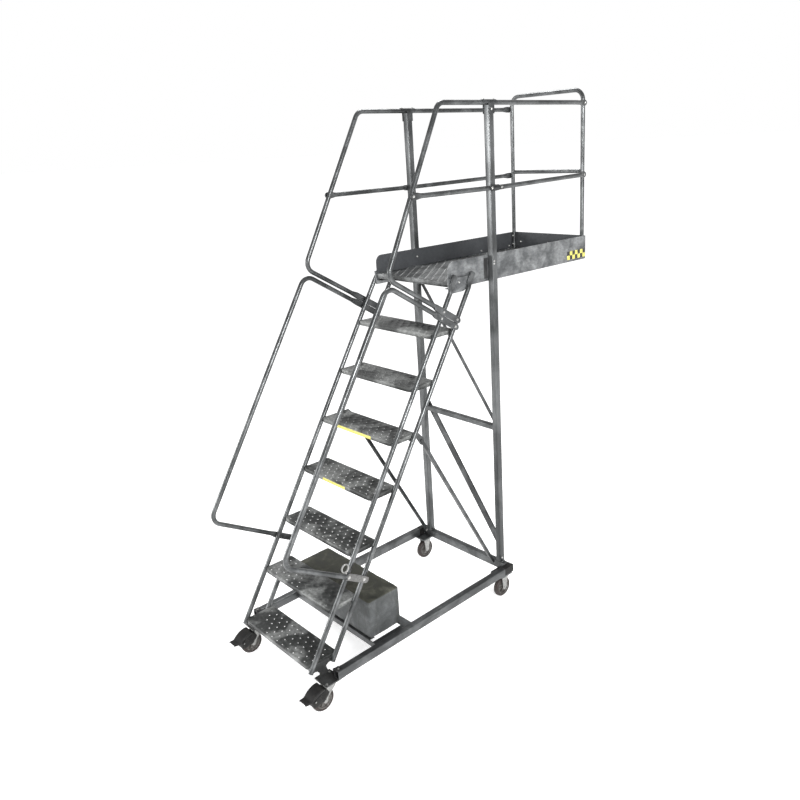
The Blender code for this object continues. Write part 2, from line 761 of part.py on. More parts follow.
def front_caster(side_name, x):
    """One swivel caster; everything hangs on the fork, whose origin is on the kingpin."""
    name = "front_" + side_name
    pin_y = FRONT_WHEEL_Y + SWIVEL_LEAD
    wheel_y = FRONT_WHEEL_Y
    top = CASTER_PLATE_TOP_Z
    plate_z = top - CASTER_PLATE_THICKNESS
    half = PLATE_SIZE / 2
    plate = box(name + "_caster_plate", (x - half, pin_y - half, plate_z),
                (x + half, pin_y + half, top))
    race = bmesh.new()
    add_rod(race, (x, pin_y, FORK_CROWN_Z + GAP), (x, pin_y, top - 0.05), 1.25, 20)
    paint(combine(plate, race, "UNION"), zinc)
    strip = fork_strip(x, FORK_CROWN_Z, pin_y - 1.3, pin_y + 1.3, wheel_y - 0.5,
                       wheel_y + 0.75, FORK_FOOT_Z)
    fork = thicken(finish(name + "_fork", strip, origin=(x, pin_y, 0)), FORK_WALL)
    paint(combine(fork, axle_bolt(x, wheel_y), "UNION"), zinc)
    for piece in wheel(name, x, wheel_y):
        hang_on(piece, fork)
    hang_on(brake_housing(name, x, wheel_y), fork)
    hang_on(brake_pedal(name, x, wheel_y), fork)


def brake_housing(name, x, wheel_y):
    """Two cheeks and a curved front web round the wheel's upper front quarter."""

    def quarter(radius):
        turns = [math.radians(84 + 14 * step) for step in range(7)]
        return [(wheel_y + radius * math.cos(turn), WHEEL_RADIUS + radius * math.sin(turn))
                for turn in turns]

    tail = [(wheel_y - 1.4, 2.75), (wheel_y + 0.1, 3.15), (wheel_y + 0.75, 4.3)]
    outline = quarter(HOUSING_RADIUS) + tail
    shell = finish(name + "_brake_housing", side_plate(outline, x - HOUSING_HALF, x + HOUSING_HALF))
    inner_arc = quarter(HOUSING_RADIUS - HOUSING_WALL)
    mouth = [(wheel_y - 3.4, inner_arc[-1][1]), (wheel_y - 3.4, 1.5), (wheel_y + 3, 1.5),
             (wheel_y + 3, inner_arc[0][1])]
    inside = HOUSING_HALF - HOUSING_WALL
    hollow = side_plate(inner_arc[:-1] + mouth[1:], x - inside, x + inside)
    return paint(combine(shell, hollow, "DIFFERENCE"), black_plastic)


def brake_pedal(name, x, wheel_y):
    """A bent plate over the housing with turned-down sides, hinged at its rear."""
    pivot_y = wheel_y + PEDAL_PIVOT[0]
    pivot_z = PEDAL_PIVOT[1]
    top = [(wheel_y - 0.15, 5.8), (wheel_y - 1.4, 5.6), (wheel_y - 2.4, 5.15),
           (wheel_y - 3.2, 4.55), (wheel_y - 3.55, 4.33), (wheel_y - 4.75, 4.4)]
    widths = (1.4, 1.4, 1.38, 1.3, 1.22, 1.1)
    solid = bmesh.new()
    rows = []
    for (y, z), half in zip(top, widths):
        skirt = 0.42 if z > 4.5 else 0.12
        rows.append([solid.verts.new(metres(x - half, y, z - skirt)),
                     solid.verts.new(metres(x - half, y, z)),
                     solid.verts.new(metres(x + half, y, z)),
                     solid.verts.new(metres(x + half, y, z - skirt))])
    for here, there in zip(rows, rows[1:]):
        for column in range(3):
            solid.faces.new((here[column], here[column + 1], there[column + 1], there[column]))
    pedal = finish(name + "_brake_pedal", solid, (x, pivot_y, pivot_z))
    return paint(thicken(pedal, 0.11), black_plastic)


def rear_caster(side_name, x):
    """A rigid fork, joined to its plate, with one wheel."""
    name = "rear_" + side_name
    y = REAR_WHEEL_Y
    crown = CASTER_PLATE_TOP_Z - CASTER_PLATE_THICKNESS / 2
    strip = fork_strip(x, crown, y - 0.8, y + 1.5, y - 0.55, y + 0.75, FORK_FOOT_Z)
    fork = thicken(finish(name + "_fork", strip), FORK_WALL)
    half = PLATE_SIZE / 2
    plate = bmesh.new()
    add_box(plate, (x - half, y - half, CASTER_PLATE_TOP_Z - CASTER_PLATE_THICKNESS),
            (x + half, y + half, BRACKET_PLATE_TOP_Z))
    combine(fork, plate, "UNION")
    paint(combine(fork, axle_bolt(x, y), "UNION"), zinc)
    wheel(name, x, y)


clear_scene()
parts = make_collection(COLLECTION_NAME)
cutters = make_collection("cutters")

painted_steel = make_material("painted_steel", (0.15, 0.155, 0.155), 0.5, 0.4)
dark_steel = make_material("dark_painted_steel", (0.1, 0.1, 0.1), 0.5, 0.4)
tread_steel = make_material("tread_steel", (0.13, 0.13, 0.13), 0.55, 0.4)
cast_iron = make_material("rough_cast_iron", (0.07, 0.072, 0.062), 0.8, 0.2)
zinc = make_material("zinc_plated_steel", (0.6, 0.6, 0.58), 0.35, 0.9)
black_plastic = make_material("black_brake_cover", (0.02, 0.02, 0.02), 0.45, 0.0)
tyre_rubber = make_material("brown_black_tyre", (0.05, 0.035, 0.03), 0.6, 0.0)
hub_plastic = make_material("grey_hub", (0.3, 0.29, 0.28), 0.5, 0.0)

side_rails()
rear_cross_rail()
front_caster_brackets()
ballast_frame()
counterweight()
uprights()
mid_crossbar()
rear_braces()
side_braces()
stiles()
steps()
platform_deck()
platform_frame()
toe_boards()
platform_hangers()
guard_rails()
lower_handrails()
mid_rails()
rear_guard()
eye_bolt()
for side_label, direction in SIDES:
    front_caster(side_label, direction * FRONT_WHEEL_X)
    rear_caster(side_label, direction * REAR_WHEEL_X)
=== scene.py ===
"""Rolling warehouse ladder: the detailed visual model on the part's own frame.

Lengths are inches in the part's design frame until metres() turns them into world metres.
+X is the climber's right, -Y the climbing side, +Z up.
"""
import math

import bmesh
import bpy
from mathutils import Matrix, Vector, noise


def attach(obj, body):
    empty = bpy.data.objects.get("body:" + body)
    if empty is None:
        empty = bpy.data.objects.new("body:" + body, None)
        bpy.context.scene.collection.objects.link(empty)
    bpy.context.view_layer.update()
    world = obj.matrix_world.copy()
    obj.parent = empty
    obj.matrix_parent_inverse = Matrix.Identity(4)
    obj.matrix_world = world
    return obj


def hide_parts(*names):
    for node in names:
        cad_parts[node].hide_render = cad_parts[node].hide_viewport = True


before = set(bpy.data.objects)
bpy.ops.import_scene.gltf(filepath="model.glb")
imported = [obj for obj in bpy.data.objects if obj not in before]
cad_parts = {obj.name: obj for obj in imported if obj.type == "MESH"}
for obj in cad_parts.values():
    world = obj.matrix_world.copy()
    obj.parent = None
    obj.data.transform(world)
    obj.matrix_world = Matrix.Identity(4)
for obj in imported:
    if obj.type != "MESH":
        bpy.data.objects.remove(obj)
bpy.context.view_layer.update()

INCH = 0.0254
GAP = 0.012
ORIGIN_Y = 43.909
SIDES = (("left", -1), ("right", 1))
X_AXIS, Y_AXIS, Z_AXIS = Vector((1, 0, 0)), Vector((0, 1, 0)), Vector((0, 0, 1))

# The part's own dimensions
RISE, RUN, NOSE, TREAD_DEPTH, TREAD_HALF = 10.0, 6.32, 0.94, 7.05, 11.97
STILE_X, STILE_SPACING, STILE_FOOT_Z, STILE_HEAD_Z = 12.5, 5.42, 8.6, 79.9
TUBE = 0.5
UPRIGHT_X, UPRIGHT_Y, UPRIGHT_HALF = 12.43, 56.42, 0.75
UPRIGHT_FOOT_Z, UPRIGHT_HEAD_Z = 8.462, 114.688
DECK_Z, DECK_FRONT, DECK_REAR, DECK_HALF = 80.0, 43.3, 92.128, 11.498
BOARD_X, BOARD_REAR = 11.62, 92.25
TOP_RAIL_Z, MID_RAIL_Z = 115.2, 98.26
HANDRAIL_X, MID_RAIL_X = 13.524, 13.692
POST_X, POST_Y, RAIL_END_X = 10.98, 91.6, 12.004
GUARD_FOOT, GUARD_KNEE, GUARD_HEAD_Y = (44.75, 71.55), (25.1, 83.65), 41.9
LOWER_PATH = ((44.1, 70.2), (24.88, 82.28), (-4.82, 34.87), (14.6, 23.06))
REAR_GUARD_TOP, REAR_MID_RAIL_Z = 118.2, 99.64
BEND_RADIUS, BEND_STEPS = 2.3, 9
WHEEL_R, WHEEL_HALF = 2.5, 0.625
FRONT_X, FRONT_Y, LEAD = 13.65, 0.5, 1.9
REAR_X, REAR_Y = 13.9, 55.0
PLATE_TOP_Z = 6.24
RAIL_X, RAIL_LOW_Z, RAIL_HEIGHT, RAIL_FRONT, CAP_FRONT = 15.25, 6.52, 1.93, 3.3, 54.16
CROSS_RAIL_HALF, CROSSBAR_Z, CROSSBAR_HALF = 14.488, 43.75, 0.625

# Flattened tube ends: half thickness, half width, the length that fades, the shift inwards
FLAT_HALF, FLAT_WIDTH, FADE, LEAN = 0.17, 0.7, 1.6, 0.334
PROBE = 0.04  # a short step along a path, for its direction and for a cut end's edge


def metres(x, y, z):
    return Vector((x, y - ORIGIN_Y, z)) * INCH


# --- Materials ------------------------------------------------------------------------------


def feed(tree, node, socket, source):
    """Sets a node's input to a value, or links it to another node's output."""
    if isinstance(source, bpy.types.NodeSocket):
        tree.links.new(source, node.inputs[socket])
    else:
        node.inputs[socket].default_value = source


def add_node(tree, kind, **inputs):
    """A shader node of one kind, with the inputs named."""
    node = tree.nodes.new("ShaderNode" + kind)
    for socket, source in inputs.items():
        feed(tree, node, socket, source)
    return node


def add_ramp(tree, value, stops):
    """A colour ramp with grey or coloured stops: (position, value or colour)."""
    node = add_node(tree, "ValToRGB", Fac=value)
    elements = node.color_ramp.elements
    while len(elements) < len(stops):
        elements.new(0.5)
    for element, (position, colour) in zip(elements, stops):
        element.position = position
        element.color = (*colour, 1) if isinstance(colour, tuple) else (colour, colour, colour, 1)
    return node.outputs["Color"]


class Look:
    """A procedural material and the record's slot that it belongs to."""

    def __init__(self, name, slot, metallic=0.0, specular=0.5):
        self.slot = slot
        self.material = bpy.data.materials.new(name)
        self.material.use_nodes = True
        self.tree = self.material.node_tree
        self.shader = self.tree.nodes["Principled BSDF"]
        self.shader.inputs["Metallic"].default_value = metallic
        self.shader.inputs["Specular IOR Level"].default_value = specular
        self.place = add_node(self.tree, "TexCoord").outputs["Object"]

    def noise(self, scale, detail=4.0, rough=0.55, stretch=(1, 1, 1), twist=0.0):
        mapping = add_node(self.tree, "Mapping", Scale=stretch, Vector=self.place)
        cloud = add_node(self.tree, "TexNoise", Scale=scale, Detail=detail, Roughness=rough,
                         Distortion=twist, Vector=mapping.outputs["Vector"])
        return cloud.outputs["Fac"]

    def ramp(self, value, *stops):
        return add_ramp(self.tree, value, stops)

    def blend(self, share, first, second, mode="MIX"):
        """Mixes two colours, each a tuple or another node's output."""
        node = add_node(self.tree, "Mix")
        node.data_type = "RGBA"
        node.blend_type = mode
        for socket, source in ((0, share), (6, first), (7, second)):
            feed(self.tree, node, socket, (*source, 1.0) if isinstance(source, tuple) else source)
        return node.outputs[2]

    def finish(self, colour, rough, *bumps):
        """Links colour and roughness, and bumps as (height, distance in metres, strength)."""
        feed(self.tree, self.shader, "Base Color", colour)
        feed(self.tree, self.shader, "Roughness", rough)
        above = self.shader
        for height, distance, strength in reversed(bumps):
            node = add_node(self.tree, "Bump", Distance=distance, Strength=strength, Height=height)
            feed(self.tree, above, "Normal", node.outputs["Normal"])
            above = node
        return self


def painted_look(name, slot, dark, light, patch=(9.0, 0.42, 0.62), streak=(1, 1, 1), metallic=0.72,
                 rough=(0.3, 0.42), wear=0.35, coat=0.2, mottling=0.35):
    """Semi-gloss paint over steel: soft patches, streaks, fine speckle and worn specks."""
    look = Look(name, slot, metallic)
    look.shader.inputs["Coat Weight"].default_value = coat
    look.shader.inputs["Coat Roughness"].default_value = 0.2
    scale, low, high = patch
    clouds = look.noise(scale, 3.0, 0.5, twist=0.4)
    patches = look.ramp(clouds, (low, 0.0), (high, 1.0))
    base = look.blend(patches, dark, light)
    mottle = look.noise(55.0, 6.0, 0.65, streak)
    base = look.blend(mottling, base, look.ramp(mottle, (0.34, 0.45), (0.66, 1.4)), "MULTIPLY")
    speck = look.noise(520.0, 3.0, 0.6)
    base = look.blend(0.5, base, look.ramp(speck, (0.35, 0.7), (0.65, 1.3)), "MULTIPLY")
    scuffs = look.ramp(look.noise(150.0, 8.0, 0.72, streak, 0.8), (0.66, 0.0), (0.72, wear))
    base = look.blend(scuffs, base, tuple(min(1.0, tone * 2.6 + 0.12) for tone in light))
    shine = look.ramp(mottle, (0.3, rough[0]), (0.7, rough[1]))
    return look.finish(base, shine, (mottle, 0.0005, 0.08 + 0.12 * mottling), (speck, 0.00012, 0.3))


def mottled_look(name, slot, clouds, stops, dirt, dirt_stops, dirt_colour, shine, grain, bump,
                 metallic=0.0, specular=0.5):
    """Mottled colour under dirt.

    clouds, dirt and grain are noise() values, and bump is the grain's distance and strength.
    """
    look = Look(name, slot, metallic, specular)
    mottle = look.noise(*clouds)
    base = look.ramp(mottle, *stops)
    base = look.blend(look.ramp(look.noise(*dirt), *dirt_stops), base, dirt_colour)
    gloss = look.ramp(mottle, (0.3, shine[0]), (0.7, shine[1]))
    return look.finish(base, gloss, (look.noise(*grain), *bump))


def zinc_look(name, tone):
    stops = [(position, tuple(part * tone for part in colour)) for position, colour in
             ((0.3, (0.45, 0.45, 0.445)), (0.55, (0.8, 0.8, 0.78)), (0.75, (1.12, 1.1, 1.04)))]
    return mottled_look(name, "zinc", (90.0, 5.0, 0.6), stops, (240.0, 6.0, 0.7),
                        ((0.62, 0.0), (0.72, 0.7)), (0.12, 0.11, 0.1), (0.36, 0.52),
                        (700.0, 2.0), (0.00012, 0.4), 0.85)


def plastic_look():
    look = Look("black_moulded_cover", "black_plastic", 0.0, 0.22)
    grain = look.noise(900.0, 2.0, 0.5)
    dust = look.ramp(look.noise(45.0, 6.0, 0.68), (0.45, 0.0), (0.75, 0.55))
    base = look.blend(dust, (0.008, 0.008, 0.008), (0.03, 0.028, 0.025))
    scratch = look.ramp(look.noise(160.0, 6.0, 0.7, (1, 4, 1), 1.0), (0.66, 0.0), (0.71, 0.5))
    base = look.blend(scratch, base, (0.16, 0.15, 0.14))
    shine = look.ramp(grain, (0.3, 0.42), (0.7, 0.6))
    return look.finish(base, shine, (grain, 0.0002, 0.5))


def tyre_look():
    stops = ((0.3, (0.01, 0.007, 0.0065)), (0.6, (0.027, 0.018, 0.0155)), (0.8, (0.07, 0.05, 0.043)))
    return mottled_look("brown_black_tyre", "tyre", (60.0, 5.0, 0.6), stops, (300.0, 5.0, 0.7),
                        ((0.6, 0.0), (0.74, 0.5)), (0.11, 0.092, 0.08), (0.38, 0.62),
                        (420.0, 4.0), (0.0003, 0.5), specular=0.4)


def hub_look():
    stops = ((0.3, (0.05, 0.046, 0.043)), (0.6, (0.13, 0.124, 0.118)), (0.8, (0.36, 0.345, 0.33)))
    return mottled_look("pale_hub", "hub", (80.0, 5.0, 0.6), stops, (35.0, 4.0, 0.6),
                        ((0.4, 0.0), (0.56, 0.85)), (0.03, 0.026, 0.022), (0.3, 0.5),
                        (500.0, 3.0), (0.0002, 0.35))


def block_look():
    """Rough cast block with runs and pits: its upward faces are painted darker than the grey sides as
    painted shade, in the block's olive tint.
    """
    look = Look("rough_cast_block", "cast_block", 0.1, 0.4)
    clouds = look.noise(13.0, 6.0, 0.62, twist=0.7)
    side = look.ramp(clouds, (0.3, (0.034, 0.037, 0.037)), (0.52, (0.062, 0.066, 0.067)),
                     (0.72, (0.11, 0.115, 0.117)))
    top = look.ramp(clouds, (0.3, (0.018, 0.019, 0.014)), (0.52, (0.042, 0.043, 0.032)),
                    (0.74, (0.1, 0.1, 0.08)))
    facing = add_node(look.tree, "NewGeometry").outputs["Normal"]
    upward = add_node(look.tree, "SeparateXYZ", Vector=facing).outputs["Z"]
    # Upward-facing faces take the darker top colour: painted shade on the block's top, with its olive
    # tint.
    base = look.blend(look.ramp(upward, (0.25, 0.0), (0.6, 1.0)), side, top)
    stains = look.ramp(look.noise(7.0, 5.0, 0.65, (1.6, 1.6, 0.35), 1.4), (0.5, 0.0), (0.68, 0.62))
    base = look.blend(stains, base, (0.03, 0.031, 0.027))
    speck = look.noise(320.0, 5.0, 0.7)
    base = look.blend(0.6, base, look.ramp(speck, (0.35, 0.6), (0.65, 1.4)), "MULTIPLY")
    shine = look.ramp(clouds, (0.3, 0.55), (0.7, 0.8))
    return look.finish(base, shine, (clouds, 0.002, 0.5), (speck, 0.0006, 0.7))


def tape_look(name, slot, colour):
    worn = tuple(tone * 0.7 for tone in colour)
    pale = tuple(min(1.0, tone * 1.25 + 0.04) for tone in colour)
    return mottled_look(name, slot, (70.0, 6.0, 0.7), ((0.3, worn), (0.5, colour), (0.8, pale)),
                        (160.0, 7.0, 0.75), ((0.6, 0.0), (0.68, 0.8)), (0.05, 0.05, 0.04),
                        (0.4, 0.6), (600.0, 3.0), (0.0002, 0.4), specular=0.45)


GREY_DARK, GREY_LIGHT = (0.056, 0.059, 0.06), (0.122, 0.127, 0.129)
paint = painted_look("grey_paint", "painted_steel", GREY_DARK, GREY_LIGHT)
paint_vertical = painted_look("grey_paint_vertical", "painted_steel", GREY_DARK, GREY_LIGHT,
                              patch=(5.0, 0.4, 0.62), streak=(1.6, 1.6, 0.22))
paint_long = painted_look("grey_paint_long", "painted_steel", GREY_DARK, GREY_LIGHT,
                          patch=(6.0, 0.4, 0.62), streak=(1.6, 0.25, 1.6))
tread_paint = painted_look("tread_paint", "tread_steel", (0.03, 0.032, 0.031),
                           (0.17, 0.175, 0.171), patch=(6.5, 0.47, 0.58), metallic=0.2,
                           rough=(0.38, 0.55), wear=0.6, coat=0.1, mottling=0.85)
deck_paint = painted_look("deck_paint", "tread_steel", (0.03, 0.032, 0.032),
                          (0.16, 0.166, 0.166), patch=(4.5, 0.45, 0.6), metallic=0.2,
                          rough=(0.3, 0.48), wear=0.7, coat=0.15, mottling=0.8)
# A darker copy of the toe boards' paint: painted shade on the boards seen from inside the platform.
shaded_board = painted_look("board_paint_painted_shade", "dark_steel", (0.045, 0.048, 0.052),
                           (0.068, 0.072, 0.077), patch=(3.0, 0.4, 0.65), metallic=0.15,
                           rough=(0.5, 0.62), wear=0.1, coat=0.0)
outer_board = painted_look("outer_board_paint", "dark_steel", (0.07, 0.074, 0.077),
                           (0.19, 0.197, 0.2), patch=(10.0, 0.4, 0.62), streak=(1, 0.7, 1.3),
                           metallic=0.3, wear=0.6, coat=0.2, mottling=0.6)
clamp_paint = painted_look("clamp_paint", "painted_steel", (0.035, 0.037, 0.038),
                           (0.09, 0.094, 0.096))
black_steel = painted_look("black_steel", "dark_steel", (0.018, 0.018, 0.018),
                           (0.045, 0.046, 0.046), metallic=0.2, wear=0.4)
zinc = zinc_look("zinc_plate", 0.42)
bright_zinc = zinc_look("zinc_bolt", 0.72)
sleeve_zinc = zinc_look("zinc_sleeve", 0.2)
plastic = plastic_look()
tyre_rubber = tyre_look()
hub_metal = hub_look()
cast_block = block_look()
yellow_tape = tape_look("yellow_tape", "black_plastic", (0.6, 0.55, 0.13))
black_tape = tape_look("black_tape", "black_plastic", (0.02, 0.02, 0.018))


# --- Mesh helpers ---------------------------------------------------------------------------


def add_object(name, data):
    item = bpy.data.objects.new(name, data)
    bpy.context.scene.collection.objects.link(item)
    return item


def make(name, solid, look, body="frame", stands_for=(), bevel=0.0, wall=0.0, angle=38,
         turn_out=True):
    """Turns a bmesh into a piece that rides on a body and may stand for CAD nodes."""
    if turn_out:
        bmesh.ops.recalc_face_normals(solid, faces=solid.faces)
    mesh = bpy.data.meshes.new(name)
    solid.to_mesh(mesh)
    solid.free()
    mesh.materials.append(look.material)
    mesh.shade_smooth()
    mesh.set_sharp_from_angle(angle=math.radians(angle))
    item = add_object(name, mesh)
    if wall:
        shell = item.modifiers.new("wall", "SOLIDIFY")
        shell.thickness = wall * INCH
        shell.offset = -1
    if bevel:
        soften(item, bevel)
    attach(item, body)
    if stands_for:
        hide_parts(*stands_for)


def tube_piece(kind, suffix, solid, look=paint, bevel=0.0):
    """A tube or bar that stands for the CAD node of its kind and side."""
    make(f"{kind}_tube{suffix}", solid, look, stands_for=(kind + suffix,), bevel=bevel)


def soften(item, width, segments=3):
    rounding = item.modifiers.new("rounded_edges", "BEVEL")
    rounding.width = width * INCH
    rounding.segments = segments
    rounding.limit_method = "ANGLE"
    rounding.angle_limit = math.radians(40)
    rounding.harden_normals = False


def bridge(solid, here, there, closed=True):
    """Faces between two rows of vertices."""
    count = len(here)
    for index in range(count if closed else count - 1):
        after = (index + 1) % count
        solid.faces.new((here[index], here[after], there[after], there[index]))


def loft(solid, rings, open_sheet=False):
    """Faces between rings of design points: a closed body with end caps, or an open sheet."""
    rows = [[solid.verts.new(metres(*point)) for point in ring] for ring in rings]
    for here, there in zip(rows, rows[1:]):
        bridge(solid, here, there, not open_sheet)
    if not open_sheet:
        solid.faces.new(list(reversed(rows[0])))
        solid.faces.new(rows[-1])


def lofted(rings, open_sheet=False):
    solid = bmesh.new()
    loft(solid, rings, open_sheet)
    return solid


def box(solid, corner, opposite):
    """A box between two opposite corners, given either way round."""
    low, high = ([pick(pair) for pair in zip(corner, opposite)] for pick in (min, max))
    loft(solid, [[(low[0], low[1], z), (high[0], low[1], z), (high[0], high[1], z),
                  (low[0], high[1], z)] for z in (low[2], high[2])])


def section(half_u, half_v, radius, steps=4):
    """A rectangle with rounded corners, as (u, v) points."""
    points = []
    for corner, (su, sv) in enumerate(((1, 1), (-1, 1), (-1, -1), (1, -1))):
        for step in range(steps + 1):
            turn = math.pi / 2 * (corner + step / steps)
            points.append((su * (half_u - radius) + radius * math.cos(turn),
                           sv * (half_v - radius) + radius * math.sin(turn)))
    return points


def bar(start, end, half_u, half_v, radius, hollow=True):
    """A rectangular tube along one axis, hollow at its ends if asked."""
    start, end = Vector(start), Vector(end)
    along = (end - start).normalized()
    first = Y_AXIS if abs(along.x) > 0.5 else X_AXIS
    second = along.cross(first)
    wall = 0.12
    outer = section(half_u, half_v, radius)
    inner = section(half_u - wall, half_v - wall, max(radius - wall, 0.03))
    steps = [(start, outer), (end, outer)]
    if hollow:
        depth = along * 2
        steps = [(start + depth, inner), (start, inner), *steps, (end, inner), (end - depth, inner)]
    return lofted([[tuple(place + first * u + second * v) for u, v in shape]
                   for place, shape in steps])


def rounded_path(corners):
    """Points along straight runs joined by arcs of the bend radius."""
    points = [Vector(corners[0])]
    for before, corner, after in zip(corners, corners[1:], corners[2:]):
        corner = Vector(corner)
        back = (Vector(before) - corner).normalized()
        ahead = (Vector(after) - corner).normalized()
        half = back.angle(ahead) / 2
        reach = BEND_RADIUS / math.tan(half)
        middle = corner + (back + ahead).normalized() * (BEND_RADIUS / math.sin(half))
        start = corner + back * reach - middle
        stop = corner + ahead * reach - middle
        for step in range(BEND_STEPS + 1):
            turn = start.slerp(stop, step / BEND_STEPS)
            points.append(middle + turn.normalized() * BEND_RADIUS)
    points.append(Vector(corners[-1]))
    return points


def distances(points):
    marks = [0.0]
    for here, there in zip(points, points[1:]):
        marks.append(marks[-1] + (there - here).length)
    return marks


def along_path(points, marks, distance):
    """The point at one distance along a path, also a little past either end."""
    last = len(points) - 2
    for index in range(last + 1):
        if distance <= marks[index + 1] or index == last:
            share = (distance - marks[index]) / (marks[index + 1] - marks[index])
            return points[index].lerp(points[index + 1], share)


def clamp(value, low, high):
    return max(low, min(high, value))


def smooth(value):
    value = clamp(value, 0.0, 1.0)
    return value * value * (3 - 2 * value)


def oval(centre, along, side, half_side, half_plane, power, count):
    """A ring round a path: a circle at power 2, a flat bar's section at higher powers."""
    first = (side - along * along.dot(side)).normalized()
    second = along.cross(first)
    ring = []
    for step in range(count):
        turn = 2 * math.pi * (step + 0.5) / count
        u = math.copysign(abs(math.cos(turn)) ** (2 / power), math.cos(turn))
        v = math.copysign(abs(math.sin(turn)) ** (2 / power), math.sin(turn))
        ring.append(tuple(centre + first * (half_side * u) + second * (half_plane * v)))
    return ring


def tube(points, side=X_AXIS, flats=(0.0, 0.0), leans=(None, None), hollow_foot=False,
         nose=FLAT_WIDTH):
    """A round tube along points. A flat end is pressed for that length and leans sideways.

    Its outline is rounded over the length of nose.
    """
    radius, count = TUBE, 24
    marks = distances(points)
    total = marks[-1]
    wanted = set(marks[1:-1])
    for end, flat in enumerate(flats):
        near = [0.0, 0.05]
        if flat:
            near = [nose * share for share in (0.0, 0.04, 0.14, 0.3, 0.55, 1.0)]
            near += [flat + FADE * share / 5 for share in range(6)]
        wanted |= {distance if end == 0 else total - distance for distance in near}
    rings = []
    for distance in sorted(wanted):
        centre = along_path(points, marks, distance)
        ahead = along_path(points, marks, distance + PROBE)
        behind = along_path(points, marks, distance - PROBE)
        along = (ahead - behind).normalized()
        half_side = half_plane = radius
        power = 2.0
        for end, flat in enumerate(flats):
            away = distance if end == 0 else total - distance
            if flat and away < flat + FADE:
                share = 1 - smooth((away - flat) / FADE)
                half_side = radius + (FLAT_HALF - radius) * share
                half_plane = radius + (FLAT_WIDTH - radius) * share
                power = 2 + 3 * share
                if leans[end]:
                    centre = centre + leans[end] * share
                if away < nose:
                    cut = 1 - away / nose
                    round_off = max(0.12, math.sqrt(max(0.0, 1 - cut * cut)))
                    half_plane *= 1 - nose / FLAT_WIDTH * (1 - round_off)
            elif not flat and not (hollow_foot and end == 0) and away < PROBE:
                half_side = half_plane = radius * 0.9
        rings.append(oval(centre, along, side, half_side, half_plane, power, count))
    if hollow_foot:
        heading = (points[1] - points[0]).normalized()
        bore = radius * 0.8
        rings = [oval(points[0] + heading * depth, heading, side, bore, bore, 2, count)
                 for depth in (1.5, 0)] + rings
    return lofted(rings)


def rod(solid, start, end, radius, sides, tip=0.0):
    """A round or hexagonal bar, with its edges at both ends taken off by tip."""
    start, end = Vector(start), Vector(end)
    along = (end - start).normalized()
    side = X_AXIS if abs(along.x) < 0.8 else Y_AXIS
    steps = [(start, radius - tip), (start + along * tip, radius), (end - along * tip, radius),
             (end, radius - tip)] if tip else [(start, radius), (end, radius)]
    loft(solid, [oval(place, along, side, size, size, 2, sides) for place, size in steps])


def bolt(solid, place, out, size):
    """A hexagon head on a washer, standing on a surface along out."""
    size *= 0.85
    place, out = Vector(place), Vector(out).normalized()
    foot = place + out * 0.05
    rod(solid, place, foot, size * 1.35, 20, 0.015)
    rod(solid, foot, foot + out * size * 0.62, size, 6, 0.04)
    rod(solid, foot + out * size * 0.6, foot + out * size * 0.78, size * 0.5, 14, 0.03)


def side_bolts(solid, side, x, places, size):
    """Bolts that point out to one side, at (y, z) places."""
    for y, z in places:
        bolt(solid, (side * x, y, z), (side, 0, 0), size)


def extrude(solid, outline, low, high):
    """A flat (y, z) outline between two positions on the X axis, given in rising order."""
    loft(solid, [[(x, y, z) for y, z in outline] for x in (low, high)])


def turned(solid, centre, profile, axis, steps):
    """A closed profile of (distance along the axis, radius) turned about an axis."""
    centre, axis = Vector(centre), Vector(axis)
    side = Y_AXIS if abs(axis.x) > 0.5 else X_AXIS
    other = axis.cross(side)
    rings = []
    for step in range(steps):
        turn = 2 * math.pi * step / steps
        out = side * math.cos(turn) + other * math.sin(turn)
        rings.append([solid.verts.new(metres(*(centre + axis * along + out * reach)))
                      for along, reach in profile])
    for here, there in zip(rings, rings[1:] + rings[:1]):
        bridge(solid, here, there)


def spoke(turn):
    """The direction at one angle from +Y towards +Z, square to a wheel's axle."""
    return Vector((0, math.cos(turn), math.sin(turn)))


def weld(solid, start, end, radius):
    """A bead of small overlapping humps between two points."""
    start, end = Vector(start), Vector(end)
    count = max(2, int((end - start).length / (radius * 0.9)))
    for step in range(count + 1):
        place = start.lerp(end, step / count)
        size = radius * INCH * (0.9 + 0.2 * noise.noise(place * 3.1))
        bmesh.ops.create_icosphere(solid, subdivisions=2, radius=size,
                                   matrix=Matrix.Translation(metres(*place)))


def stile_y(z, rear=False):
    return RUN * (z - RISE) / RISE + (STILE_SPACING if rear else 0)


def slanted_leg_y(z):
    """Y of the guard rail's slanted leg at one height."""
    share = (z - GUARD_KNEE[1]) / (TOP_RAIL_Z - GUARD_KNEE[1])
    return GUARD_KNEE[0] + (GUARD_HEAD_Y - GUARD_KNEE[0]) * share


# --- Stairway -------------------------------------------------------------------------------

BUTTON_PITCH, BUTTON_ROW, FIRST_ROW, EDGE_ROUND, BUTTON_SPACE = 2.0, 1.27, 0.5, 0.12, 0.45
LATTICE_HALF, LATTICE_COLUMNS = 12, 13
BUTTON = ((0.36, 0.0), (0.3, 0.035), (0.21, 0.085), (0.15, 0.085), (0.12, 0.055))


